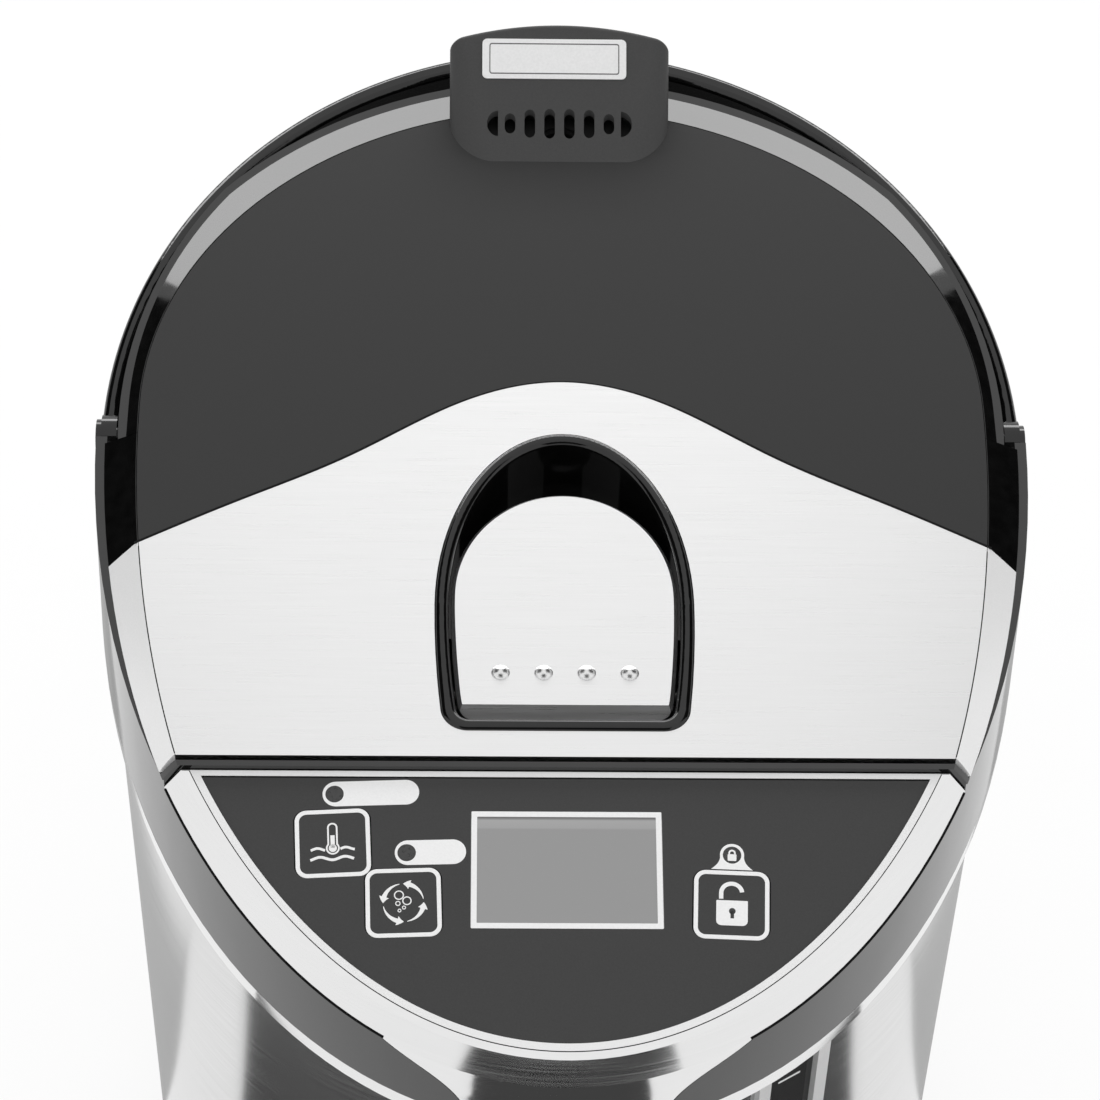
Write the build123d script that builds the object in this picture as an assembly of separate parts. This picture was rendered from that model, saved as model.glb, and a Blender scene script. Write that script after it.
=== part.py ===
from build123d import *
import os
from math import atan2, cos, degrees, radians, sin, sqrt, tan

# Main sizes: height of the lid over the body axis, radius of the body and reach of the head beyond it
lid_height = 292.0
shell_radius = 108.0
head_reach = 58.5
head_side = shell_radius
head_front = shell_radius + head_reach

# Tilts of the lid, its rim, the panel and the folded handle
lid_tilt = 4.0
rim_tilt = 5.0
panel_tilt = 11.0
handle_tilt = 6.0

# Lid: half width, reach to the front and reach to the back of its upper edge and of its rim
rim_margin = 3.5
rim_side = head_side - rim_margin
rim_lead = 9.0
rim_front = head_front + rim_lead
rim_tuck = 1.3
rim_back = rim_side - rim_tuck
lid_margin = 7.5
lid_side = rim_side - lid_margin
lid_lead = 14.5
lid_front = rim_front + lid_lead
lid_tuck = 2.8
lid_back = lid_side - lid_tuck
rim_drop = 3.4
lid_seam_margin = 11.4
lid_seam = head_side - lid_seam_margin
lid_seam_draft = 8.0
lid_skin = 2.6
skin_gap = 0.15
lid_gap = 0.6
wave_margin = 1.5
wave_side = lid_side - wave_margin
wave_depth = 40.2
wave_shares = ((0.267, 0.845), (0.503, 0.540), (0.76, 0.263))

# Lid frame, inner plate and gasket
frame_margin = 6.1
frame_side = rim_side - frame_margin
frame_lead = 4.5
frame_front = rim_front - frame_lead
frame_tuck = 2.4
frame_back = frame_side - frame_tuck
frame_seam_gap = 2.6
frame_nose = lid_seam - frame_seam_gap
frame_wall = 3.0
frame_floor = 2.5
frame_depth = 22.5
tank_gap = 20.0
tank_radius = shell_radius - tank_gap
plug_margin = 8.0
plug_radius = tank_radius - plug_margin
plug_plate = 1.5
gasket_margin = 2.0
gasket_radius = tank_radius + gasket_margin
gasket_gap = 0.3

# Lever, its cup and the latch
cup_side = 28.6
cup_crown = 48.2
cup_seam_margin = 6.6
cup_reach = lid_seam - cup_seam_margin
cup_length = 33.6
cup_middle = cup_reach - cup_length
wave_gap = 15.4
wave_crest = cup_crown - cup_middle + wave_gap
cup_reach_side = 26.3
cup_corner = 6.0
cup_lip = 3.1
cup_stand = 0.6
cup_round = 1.2
cup_depth = 14.0
cup_floor = 1.5
cup_floor_length = 32.0
cup_floor_reach = cup_reach - cup_floor_length
lever_side = 25.0
lever_crown = 29.0
lever_gap = 4.7
lever_reach = cup_reach - lever_gap
lever_length = 31.3
lever_middle = lever_reach - lever_length
lever_reach_side = 22.9
lever_corner = 3.0
lever_sink = 0.4
lever_thick = 3.0
lever_bevel = 0.9
lever_nose_run = 2.6
lever_nose_drop = 2.0
bump_radius = 2.2
bump_sink = 0.9
bump_pitch = 9.35
bump_margin = 10.7
bump_row = lever_reach - bump_margin
bump_count = 4
crank_margin = 7.3
crank_seat = lever_reach - crank_margin
crank_drop = 4.6
crank_hub = 3.0
crank_width = 8.0
crank_thick = 3.6
crank_length = 8.8
crank_pin_radius = 1.5
bolt_width = 12.0
bolt_height = 3.5
bolt_tail_length = 7.0
bolt_tail = crank_seat - bolt_tail_length
bolt_stand = 1.2
bolt_tip = frame_nose + bolt_stand
bolt_pocket = 6.4
slide_gap = 0.3
run_gap = 0.05
keeper_width = 24.0
keeper_height = 6.0
keeper_thick = 1.2

# Pipes, and the head: collar, strip under it and the bar between lid and panel
pipe_radius = 4.5
pipe_bore = 3.2
pipe_gap = 0.65
collar_wall = 2.6
collar_floor = 2.5
deck_drop = 28.2
deck_thick = 2.5
head_depth = deck_drop + deck_thick + pipe_gap + 2 * pipe_radius + pipe_gap + collar_floor
head_rise = 10.0
head_draw = 1.8
head_top_side = head_side - head_draw
strip_height = 4.0
strip_width = 4.5
bar_gap = 1.3
bar_back = lid_seam + bar_gap
bar_thick = 1.4
bulkhead_drop = 15.0
bulkhead_thick = 2.4
liner_wall = 2.4
liner_front = 8.4

# Front trim with the panel opening and the spout nose
panel_seat = lid_side
panel_drop = 7.8
lip_margin = 5.0
lip_side = head_side - lip_margin
lip_lead = 2.4
lip_front = head_front - lip_lead
trim_drop = 6.0
trim_skin = 3.6
trim_gap = 0.2
membrane_margin = 3.2
membrane_side = lip_side - membrane_margin
membrane_lead = 3.7
membrane_front = lip_front - membrane_lead
membrane_gap = 3.0
membrane_back = bar_back + membrane_gap
membrane_thick = 1.4
membrane_sink = 0.4
ledge_width = 3.0
nose_bottom = 84.0
nose_clearance = 4.0
nose_back = shell_radius + nose_clearance
nose_half = 18.5
nose_wall = 2.4
nose_top_half = 46.0
nose_top = 21.0
nose_flare = 33.0
nose_shares = ((0.76, 0.12), (0.55, 0.22), (0.32, 0.33), (0.155, 0.47), (0.055, 0.66))
nose_tangent_share = 0.3
nose_floor_thick = 3.0

# Panel pieces, set out along the slope of the panel
key_width = 16.0
key_length = 15.5
key_corner = 2.6
key_gap = 0.2
key_travel = 0.6
key_depth = 3.4
key_row = 50.5
key_second_row = 37.1
key_third_row = 36.9
key_shares = (-0.494, -0.3427, 0.3447)
key_turns = (3.0, 2.0, -2.2)
key_setting = (key_shares[0] * membrane_side, head_front - key_row)
key_reboil = (key_shares[1] * membrane_side, head_front - key_second_row)
key_lock = (key_shares[2] * membrane_side, head_front - key_third_row)
lamp_radius = 1.9
lamp_rise = 11.3
lamp_shares = (-0.493, -0.3377, 0.3437)
lamp_setting = (lamp_shares[0] * membrane_side, key_setting[1] - lamp_rise)
lamp_reboil = (lamp_shares[1] * membrane_side, key_reboil[1] - lamp_rise)
lamp_lock = (lamp_shares[2] * membrane_side, key_lock[1] - lamp_rise)
lcd_share = 0.4048
lcd_width = lcd_share * membrane_side
lcd_length = 26.8
lcd_row = 44.7
lcd_middle = head_front - lcd_row
lcd_module_margin = 2.0
board_drop = 8.6
board_thick = 1.6
board_margin = 5.0
board_gap = 3.9
board_back = membrane_back + board_gap
switch_side = 6.0

# Shell, tank and base
shell_wall = 1.0
shell_bottom = 30.0
tank_wall = 1.0
tank_bottom = 78.0
flange_width = 8.0
tank_flange = tank_radius + flange_width
tank_flange_thick = 1.2
base_radius = shell_radius
base_bottom = 6.0
base_round = 3.0
base_wall = 3.5
base_spigot = 6.0
plate_margin = 4.0
plate_radius = base_radius - plate_margin
plate_bottom = 4.0
plate_thick = 3.0
foot_radius = 11.0
foot_margin = 20.0
foot_circle = plate_radius - foot_margin
boss_radius = 7.0
boss_margin = 5.5
boss_circle = plate_radius - boss_margin
boss_height = 17.0
screw_radius = 1.7
screw_length = 14.0
screw_head_radius = 3.5
screw_head = 1.8
screw_gap = 0.1
corner_count = 4

# Heating, pump and pipes
heater_margin = 28.0
heater_radius = tank_radius - heater_margin
heater_thick = 6.0
thermostat_radius = 8.0
thermostat_height = 8.0
thermostat_place = 25.0
sensor_radius = 4.0
sensor_height = 10.0
pump_margin = 12.0
pump_place = tank_radius - pump_margin
pump_radius = 16.0
pump_top = 60.0
pump_height = 18.0
pump_wall = 2.5
impeller_radius = 11.0
impeller_hub = 4.0
impeller_thick = 1.6
impeller_blades = 6
shaft_radius = 1.5
motor_radius = 13.0
motor_bottom = 7.0
pipe_level = 50.0
gauge_angle = 32.0
riser_margin = 10.0
riser_circle = shell_radius - riser_margin
outlet_level = lid_height - head_depth + collar_floor + pipe_gap + pipe_radius
riser_joint = 6.0
riser_top = outlet_level - riser_joint
outlet_turn_gap = 3.0
outlet_turn_side = 10.0
outlet_turn_place = shell_radius - outlet_turn_gap
outlet_margin = 20.5
outlet_place = head_front - outlet_margin
nozzle_radius = 8.0
nozzle_flange = 11.0
nozzle_flange_thick = 2.0
nozzle_drop = 10.0

# Water gauge
gauge_width = 20.4
gauge_window_width = 13.6
gauge_rise = 32.0
gauge_bottom = shell_bottom + gauge_rise
gauge_margin = 10.5
gauge_top = lid_height - head_depth - gauge_margin
gauge_thick = 3.4
gauge_stand = 1.4
gauge_border = 3.4
gauge_glass = 1.5

# Power inlet at the back
inlet_width = 36.0
inlet_height = 26.0
inlet_rise = 28.0
inlet_level = shell_bottom + inlet_rise
inlet_depth = 20.0
inlet_wall = 2.5
inlet_stand = 2.0
inlet_pin_radius = 2.0
inlet_pin_length = 12.0
inlet_pin_pitch = 12.0
inlet_pin_count = 2
power_board_width = 70.0
power_board_length = 46.0
power_board_thick = 1.6
power_board_place = 46.0
power_post = 9.0
power_post_radius = 3.5

# Cup lever under the nose
paddle_margin = 9.0
paddle_place = nose_back + paddle_margin
paddle_width = 26.0
paddle_thick = 3.0
paddle_length = 44.0
paddle_hub = 3.4
paddle_pin_radius = 1.6
paddle_drop = 4.0
paddle_ear = 4.0
cup_switch_width = 12.0
cup_switch_length = 8.0
cup_switch_height = 9.0

# Handle
pivot_drop = 12.1
handle_margin = 2.0
handle_side = head_side - handle_margin
handle_lead = 13.5
handle_reach = handle_side + handle_lead
handle_arm = 3.6
handle_bow = 5.0
handle_height = 9.0
handle_round = 1.4
handle_boss = 5.6
handle_gap = 0.6
lid_notch_gap = 3.0
pin_radius = 3.0
cap_radius = 4.6
cap_thick = 1.3

# Vent hood, hinge and steam passage
hood_side = 26.7
hood_margin = 1.5
hood_back = head_side - hood_margin
hood_top = 24.0
hood_length = 30.1
hood_tip = hood_back - hood_length
hood_tip_corner = 10.8
hood_rear_corner = 2.0
hood_side_length = 12.5
hood_shoulder = hood_back - hood_side_length
hood_foot = 5.3
hood_wall = 1.6
hood_round = 1.0
hood_back_gap = 8.0
hood_notch_top = 14.6
slot_width = 2.6
slot_pitch = 4.8
slot_count = 6
slot_margin = 18.8
slot_back = hood_back - slot_margin
slot_run = 6.3
slot_front = slot_back - slot_run
slot_end_shares = (0.68, 0.95, 1.0, 1.0, 0.95, 0.68)
moon_place = 14.9
moon_radius = 2.7
label_width = 35.0
label_length = 10.0
label_corner = 1.2
label_thick = 0.4
label_margin = 8.2
label_place = hood_back - label_margin
label_offset = 1.3
hinge_margin = 6.0
hinge_place = head_side - hinge_margin
hinge_level = 10.0
hinge_radius = 3.6
hinge_pin_radius = 1.8
hinge_gap = 0.4
knuckle_half = 9.8
ear_width = 6.3
bracket_half = 17.0
bracket_lead = 3.4
bracket_front = hinge_place - bracket_lead
post_lead = 11.2
post_front = hinge_place - post_lead
post_gap = 4.5
post_back = hinge_place - post_gap
duct_margin = 6.0
duct_place = hood_tip + duct_margin
duct_radius = 5.6
duct_wall = 1.2
valve_radius = 3.4
valve_height = 6.0
valve_seat = 2.0

overrun = 40.0
span = 2.0 * lid_height
axis_place = (head_front - handle_reach) / 2

# Levels worked out from the sizes
head_bottom = lid_height - head_depth
strip_bottom = head_bottom - strip_height
deck_top = lid_height - deck_drop
pivot_level = lid_height - pivot_drop
hinge_height = lid_height + hinge_level
frame_bottom = lid_height - frame_depth
frame_inside = frame_bottom + frame_floor
panel_level = lid_height - panel_drop + tan(radians(panel_tilt)) * panel_seat
bar_front = bar_back + bar_thick
tank_top = deck_top + tank_flange_thick
tank_inside = tank_radius - tank_wall
handle_inside = handle_side - handle_arm
liner_side = handle_inside - handle_gap
pin_seat = liner_side - liner_wall + skin_gap
nose_level = lid_height - nose_bottom

LOW = (Align.CENTER, Align.CENTER, Align.MIN)
HIGH = (Align.CENTER, Align.CENTER, Align.MAX)


def egg(side, front, back):
    """Plan outline with a half ellipse behind the axis and a longer one in front of it."""
    rear = EllipticalCenterArc((0, 0), side, back, 0, arc_size=180)
    nose = EllipticalCenterArc((0, 0), side, front, 180, arc_size=180)
    return make_face([rear, nose])


def slope(level, tilt):
    """Place on a plane that crosses the body axis at the level and rises to the back."""
    return Pos(0, 0, level) * Rot(tilt, 0, 0)


def tilted_egg(side, front, back, level, tilt):
    """Egg outline on a tilted plane, stretched so that its plan view keeps the sizes."""
    run = cos(radians(tilt))
    return slope(level, tilt) * egg(side, front / run, back / run)


def column(side, front, back, low, high):
    """Upright body with an egg outline between two levels."""
    return Pos(0, 0, low) * extrude(egg(side, front, back), amount=high - low)


def above(level, tilt=0.0):
    return slope(level, tilt) * Box(span, span, span, align=LOW)


def below(level, tilt=0.0):
    return slope(level, tilt) * Box(span, span, span, align=HIGH)


def ahead(place):
    """Everything in front of a distance from the axis."""
    return Pos(0, -place, 0) * Box(span, span, span + span, align=(Align.CENTER, Align.MAX, Align.CENTER))


def behind(place):
    """Everything behind a signed distance in front of the axis."""
    return Pos(0, -place, 0) * Box(span, span, span + span, align=(Align.CENTER, Align.MIN, Align.CENTER))


def block(left, right, front, back, low, high):
    """Box between two planes in each direction, with front and back measured along Y."""
    middle = Pos((left + right) / 2, (front + back) / 2, (low + high) / 2)
    return middle * Box(right - left, back - front, high - low)


def rod(radius, place, low, high):
    """Upright cylinder at a place in plan."""
    return Pos(place[0], place[1], low) * Cylinder(radius, high - low, align=LOW)


def cross_rod(radius, left, right, place, level):
    """Cylinder along X."""
    return Pos(left, place, level) * Rot(0, 90, 0) * Cylinder(radius, right - left, align=LOW)


def on_panel(place, depth):
    """Place on the panel, with depth counted down from its plane."""
    run = cos(radians(panel_tilt))
    return slope(panel_level, panel_tilt) * Pos(place[0], -place[1] / run, -depth)


def pill_plate(width, length, corner, thick):
    """Plate with rounded corners, its upper face at zero."""
    return extrude(RectangleRounded(width, length, corner), amount=-thick)


def link(start, end, radius):
    """Round bar between two points with ball ends."""
    path = Vector(*end) - Vector(*start)
    bar = Plane(origin=start, z_dir=path) * Cylinder(radius, path.length, align=LOW)
    return bar + Pos(*start) * Sphere(radius) + Pos(*end) * Sphere(radius)


def pipe(points, radius):
    """Round bars through a row of points."""
    body = link(points[0], points[1], radius)
    for start, end in zip(points[1:-1], points[2:]):
        body = body + link(start, end, radius)
    return body


def dee(side, crown, middle, end, end_side, corner):
    """Outline with an arched back, sides that run on from it as arcs, and a straight front with rounded corners."""
    arch = EllipticalCenterArc((0, -middle), side, crown, 0, arc_size=180)
    left = TangentArc((-side, -middle), (-end_side, -end), tangent=(0, -1))
    right = TangentArc((side, -middle), (end_side, -end), tangent=(0, -1))
    face = make_face([arch, left, Line((-end_side, -end), (end_side, -end)), right])
    front_corners = face.vertices().sort_by(Axis.Y)[0:2]
    return fillet(front_corners, corner)


def ring_places(radius, count, first):
    return [(radius * cos(radians(first + 360 / count * step)),
             radius * sin(radians(first + 360 / count * step)))
            for step in range(count)]


nodes = {}

# Base
corner_angle = 45.0
feet = [rod(foot_radius, place, 0, plate_bottom) for place in ring_places(foot_circle, corner_count,
                                                                          corner_angle)]
nodes["feet"] = feet
screw_places = ring_places(boss_circle, corner_count, 0.0)
base_plate = rod(plate_radius, (0, 0), plate_bottom, plate_bottom + plate_thick)
ring_bottom = plate_bottom + plate_thick
base_ring = rod(base_radius, (0, 0), base_bottom, shell_bottom)
base_ring = fillet(base_ring.edges().group_by(Axis.Z)[0], base_round)
base_ring = base_ring + rod(shell_radius - shell_wall, (0, 0), shell_bottom, shell_bottom + base_spigot)
base_ring = base_ring - rod(shell_radius - base_wall, (0, 0), ring_bottom,
                            shell_bottom + base_spigot + overrun)
base_ring = base_ring - rod(plate_radius + screw_gap, (0, 0), 0, ring_bottom)
screws = []
for place in screw_places:
    base_ring = base_ring + rod(boss_radius, place, ring_bottom, ring_bottom + boss_height)
    bore = rod(screw_radius + screw_gap, place, 0, plate_bottom + screw_length + screw_gap)
    base_ring = base_ring - bore
    base_plate = base_plate - bore
    head = rod(screw_head_radius, place, plate_bottom - screw_head, plate_bottom)
    screws.append(head + rod(screw_radius, place, plate_bottom, plate_bottom + screw_length))
nodes["base_plate"] = base_plate
nodes["base_ring"] = base_ring
nodes["base_screws"] = screws

# Egg-shaped head wall
head_top = lid_height + head_rise


def head(inset, low):
    """Head body, slightly narrower at the top, drawn in by an inset."""
    lower = Pos(0, 0, low) * egg(head_side - inset, head_front - inset, head_side - inset)
    upper = Pos(0, 0, head_top) * egg(head_top_side - inset, head_front - inset, head_top_side - inset)
    return loft([lower, upper], ruled=True)


def nose_face(grow):
    """Front view of the nose: a flare at the top that narrows to an upright strip."""
    top = nose_top_half + grow
    foot = nose_half + grow
    points = [(top, lid_height - nose_top)]
    for side_share, drop_share in nose_shares:
        points.append((foot + (top - foot) * side_share, lid_height - nose_top - nose_flare * drop_share))
    points.append((foot, lid_height - nose_top - nose_flare))
    right = Spline(points, tangents=[(-1, -nose_tangent_share), (0, -1)])
    left = mirror(right, about=Plane.YZ)
    base = nose_level - grow
    foot_line = Polyline((foot, points[-1][1]), (foot, base), (-foot, base), (-foot, points[-1][1]))
    roof = Line((-top, points[0][1]), (top, points[0][1]))
    return Plane.XZ * make_face([right, foot_line, left, roof])


def nose_bar(grow, back):
    """Nose outline carried from behind its back to the front of the head."""
    bar = extrude(nose_face(grow), amount=span / 2)
    return bar & ahead(back)


# Skin of the lid between its upper edge and its rim, drawn in and lowered by an inset
def lid_shape(inset, drop):
    upper = tilted_egg(lid_side - inset, lid_front - inset, lid_back - inset, lid_height - drop, lid_tilt)
    rim_level = lid_height - rim_drop - drop
    lower = tilted_egg(rim_side - inset, rim_front - inset, rim_back - inset, rim_level, rim_tilt)
    return loft([lower, upper], ruled=True)


def notch(gap):
    """Room for the folded handle and for its swing to upright."""
    inside = handle_inside - gap
    bow_inside = handle_reach - handle_bow - gap
    low = pivot_level - handle_height / 2 - gap
    room = behind(0) - column(inside, inside, bow_inside, 0, span)
    room = room & above(low, handle_tilt)
    swing = handle_boss + gap
    for turn in (-1, 1):
        left, right = sorted((turn * inside, turn * (inside + overrun)))
        room = room + cross_rod(swing, left, right, 0, pivot_level)
        room = room + block(left, right, -swing, swing, pivot_level, pivot_level + overrun)
    return room


# Collar
head_wall = head(0, head_bottom)
trim_level = panel_level - trim_drop
roof_cut = above(lid_height - rim_drop - lid_gap, rim_tilt) & behind(bar_front)
front_cut = above(trim_level, panel_tilt) & ahead(bar_front)
room = head(collar_wall, head_bottom)
collar = head_wall - roof_cut - front_cut - room
inside = head(collar_wall / 2, head_bottom) - roof_cut - front_cut
floor_hole = rod(shell_radius - shell_wall - base_wall, (0, 0), 0, span)
collar = collar + (inside & below(head_bottom + collar_floor)) - floor_hole
deck = inside & above(deck_top - deck_thick) & below(deck_top) & behind(bar_back + bulkhead_thick)
deck = deck - rod(tank_radius + skin_gap, (0, 0), 0, span)
bulkhead_top = lid_height - bulkhead_drop
bulkhead = inside & block(-span, span, -bar_back - bulkhead_thick, -bar_back, deck_top - deck_thick,
                          bulkhead_top)
bar_room = block(-span, span, -bar_front, -bar_back, bulkhead_top - bulkhead_thick, span)
bar = lid_shape(0, 0) & bar_room
bar = bar + (head_wall & bar_room & below(lid_height - rim_drop + skin_gap, rim_tilt))
collar = collar + deck + bulkhead + bar - notch(handle_gap)
liner_inside = liner_side - liner_wall
liner_reach = handle_reach - handle_bow - handle_gap
liner = column(liner_side, liner_side, liner_reach, deck_top - deck_thick, span)
liner = liner - column(liner_inside, liner_inside, liner_reach - liner_wall, 0, span)
liner = liner & behind(liner_front + liner_wall)
for turn in (-1, 1):
    left, right = sorted((turn * liner_inside, turn * head_side))
    liner = liner + block(left, right, -liner_front - liner_wall, -liner_front, deck_top - deck_thick, span)
collar = collar + (liner & inside)
keeper_level = frame_inside + bolt_height / 2 + slide_gap
keeper = block(-keeper_width / 2, keeper_width / 2, -bar_back - keeper_thick, -bar_back,
               keeper_level - keeper_height / 2, keeper_level + keeper_height / 2)
collar = collar - keeper - nose_bar(trim_gap, nose_back)
for turn in (-1, 1):
    left, right = sorted((turn * pin_seat, turn * (handle_side + overrun)))
    collar = collar - cross_rod(pin_radius, left, right, 0, pivot_level)
nodes["collar"] = collar
nodes["latch_keeper"] = keeper

strip = column(head_side, head_front, head_side, strip_bottom, head_bottom)
strip_inner = column(head_side - strip_width, head_front - strip_width, head_side - strip_width, 0, span)
nodes["collar_strip"] = strip - strip_inner - nose_bar(trim_gap, nose_back)

# Outer shell, cut round the strip, with openings for the gauge and the inlet
shell = rod(shell_radius, (0, 0), shell_bottom, head_bottom)
shell = shell - rod(shell_radius - shell_wall, (0, 0), 0, span)
shell = shell - (strip - strip_inner)
gauge_frame_place = Rot(0, 0, gauge_angle) * Pos(0, -shell_radius - gauge_stand, gauge_bottom)
gauge_height = gauge_top - gauge_bottom
BACKED = (Align.CENTER, Align.MIN, Align.MIN)
gauge_outer = gauge_frame_place * Box(gauge_width, gauge_thick, gauge_height, align=BACKED)
gauge_hole = gauge_frame_place * Pos(0, 0, gauge_border) * Box(
    gauge_window_width, gauge_thick, gauge_height - 2 * gauge_border, align=BACKED)
shell = shell - gauge_outer
nodes["gauge_frame"] = gauge_outer - gauge_hole
nodes["gauge_window"] = gauge_frame_place * Pos(0, gauge_thick - gauge_glass, gauge_border) * Box(
    gauge_window_width, gauge_glass, gauge_height - 2 * gauge_border, align=BACKED)
inlet_face = shell_radius + inlet_stand
inlet = block(-inlet_width / 2, inlet_width / 2, inlet_face - inlet_depth, inlet_face,
              inlet_level - inlet_height / 2, inlet_level + inlet_height / 2)
shell = shell - inlet
nodes["outer_shell"] = shell
socket_half = inlet_width / 2 - inlet_wall
socket_rise = inlet_height / 2 - inlet_wall
socket = block(-socket_half, socket_half, inlet_face - inlet_depth + inlet_wall, inlet_face + overrun,
               inlet_level - socket_rise, inlet_level + socket_rise)
inlet_pins = []
inlet = inlet - socket
for step_count in range(inlet_pin_count):
    place = (step_count - (inlet_pin_count - 1) / 2) * inlet_pin_pitch
    start = inlet_face - inlet_depth
    pin = Pos(place, start, inlet_level) * Rot(-90, 0, 0) * Cylinder(
        inlet_pin_radius, inlet_wall + inlet_pin_length, align=LOW)
    inlet = inlet - pin
    inlet_pins.append(pin)
nodes["power_inlet"] = inlet
nodes["inlet_pins"] = inlet_pins

# Inner tank
tank = rod(tank_radius, (0, 0), tank_bottom, tank_top)
tank = tank + rod(tank_flange, (0, 0), deck_top, tank_top)
tank = tank - rod(tank_inside, (0, 0), tank_bottom + tank_wall, tank_top + overrun)
pump_axis = (0, -pump_place)
tank = tank - rod(pipe_radius, pump_axis, 0, tank_bottom + tank_wall + overrun)
nodes["inner_tank"] = tank

# Heater and sensors under the tank
heater_bottom = tank_bottom - heater_thick
nodes["heater_plate"] = rod(heater_radius, (0, 0), heater_bottom, tank_bottom)
nodes["thermostats"] = [rod(thermostat_radius, (side * thermostat_place, thermostat_place),
                            heater_bottom - thermostat_height, heater_bottom) for side in (-1, 1)]
nodes["temperature_sensor"] = rod(sensor_radius, (0, -thermostat_place),
                                  heater_bottom - sensor_height, heater_bottom)

# Pump with motor, impeller and pipes
pump_bottom = pump_top - pump_height
pump = rod(pump_radius, pump_axis, pump_bottom, pump_top)
pump = pump - rod(pump_radius - pump_wall, pump_axis, pump_bottom + pump_wall, pump_top - pump_wall)
pump = pump - rod(pipe_radius, pump_axis, pump_top - pump_wall, pump_top + overrun)
pump = pump - rod(shaft_radius + run_gap, pump_axis, 0, pump_bottom + pump_wall)
riser_place = (riser_circle * sin(radians(gauge_angle)), -riser_circle * cos(radians(gauge_angle)))
port = (pump_radius - pump_wall, -pump_place, pipe_level)
riser_points = [(port[0] + pipe_radius, port[1], port[2]), (riser_place[0], riser_place[1], pipe_level),
                (riser_place[0], riser_place[1], riser_top)]
port_path = [(port[0] - pipe_radius, port[1], port[2]), riser_points[0]]
pump = pump - pipe(port_path, pipe_radius)
nodes["pump_body"] = pump
motor = rod(motor_radius, pump_axis, motor_bottom, pump_bottom)
motor = motor - rod(shaft_radius + run_gap, pump_axis, motor_bottom + motor_radius, pump_bottom + overrun)
nodes["pump_motor"] = motor
impeller_low = pump_bottom + pump_wall + slide_gap
impeller_high = pump_top - pump_wall - slide_gap - pipe_radius
impeller = rod(impeller_radius, pump_axis, impeller_low, impeller_low + impeller_thick)
impeller = impeller + rod(impeller_hub, pump_axis, impeller_low, impeller_high)
for blade in range(impeller_blades):
    vane = Box(impeller_radius, impeller_thick, impeller_high - impeller_low,
               align=(Align.MIN, Align.CENTER, Align.MIN))
    impeller = impeller + Pos(pump_axis[0], pump_axis[1], impeller_low) * Rot(0, 0,
                                                                              blade * 360 / impeller_blades) * vane
impeller = impeller + rod(shaft_radius, pump_axis, motor_bottom + motor_radius + slide_gap, impeller_low)
impeller = impeller & rod(impeller_radius, pump_axis, 0, span)
nodes["pump_impeller"] = impeller
suction = rod(pipe_radius, pump_axis, pump_top - pump_wall, tank_bottom + tank_wall)
nodes["suction_tube"] = suction - rod(pipe_bore, pump_axis, 0, span)
riser = pipe(riser_points, pipe_radius) & below(riser_top)
riser = riser - pipe([port_path[0]] + riser_points + [(riser_place[0], riser_place[1], riser_top + overrun)],
                     pipe_bore)
riser = riser - rod(pump_radius - pump_wall, pump_axis, 0, span)
nodes["riser_tube"] = riser
nozzle_level = nose_level - nozzle_drop
outlet_points = [(riser_place[0], riser_place[1], riser_top), (riser_place[0], riser_place[1], outlet_level),
                 (outlet_turn_side, -outlet_turn_place, outlet_level), (0, -outlet_place, outlet_level),
                 (0, -outlet_place, nose_level + nose_floor_thick)]
outlet = pipe(outlet_points, pipe_radius)
outlet = outlet - rod(pipe_radius, riser_place, 0, riser_top)
outlet = outlet - rod(pipe_radius, (0, -outlet_place), 0, nose_level + nose_floor_thick)
bore_points = [(riser_place[0], riser_place[1], riser_top - overrun)] + outlet_points[1:4]
bore_points = bore_points + [(0, -outlet_place, nozzle_level)]
outlet = outlet - pipe(bore_points, pipe_bore)
nodes["outlet_tube"] = outlet
nozzle = rod(nozzle_radius, (0, -outlet_place), nozzle_level, nose_level + nose_floor_thick)
nozzle = nozzle + rod(nozzle_flange, (0, -outlet_place), nose_level - nozzle_flange_thick, nose_level)
nodes["spout_nozzle"] = nozzle - rod(pipe_bore, (0, -outlet_place), 0, span)

# Front trim with the nose in one piece
trim_side = (head_side + head_top_side) / 2
trim_lower = tilted_egg(trim_side, head_front, head_side, trim_level, panel_tilt)
trim_upper = tilted_egg(lip_side, lip_front, lip_side, panel_level, panel_tilt)
trim = loft([trim_lower, trim_upper], ruled=True)
cavity_lower = tilted_egg(head_side - trim_skin - collar_wall, head_front - trim_skin, head_side,
                          trim_level - trim_skin, panel_tilt)
cavity_upper = tilted_egg(lip_side - trim_skin, lip_front - trim_skin, lip_side, panel_level - trim_skin,
                          panel_tilt)
trim = trim - loft([cavity_lower, cavity_upper], ruled=True)
trim_back = bar_front + trim_gap
trim = trim & ahead(trim_back)
nose = nose_bar(0, nose_back) & column(trim_side, head_front, head_side, nose_level, span)
nose = nose - above(trim_level, panel_tilt)
nose_room = nose_bar(-nose_wall, nose_back) & column(
    trim_side - nose_wall, head_front - nose_wall, head_side - nose_wall, 0, span)
nose = nose - nose_room - block(-nose_half + nose_wall, nose_half - nose_wall,
                                -head_front + nose_wall + nose_wall,
                                -nose_back, 0, span)
trim = trim + nose
membrane_room = tilted_egg(membrane_side + skin_gap, membrane_front + skin_gap, membrane_side, panel_level,
                           panel_tilt)
membrane_slot = extrude(membrane_room, amount=membrane_thick + membrane_sink, dir=(0, 0, -1))
trim = trim - (membrane_slot & ahead(membrane_back - skin_gap))
ledge = tilted_egg(membrane_side - ledge_width, membrane_front - ledge_width, membrane_side, panel_level,
                   panel_tilt)
ledge_hole = extrude(ledge, amount=trim_skin + overrun, dir=(0, 0, -1))
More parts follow.
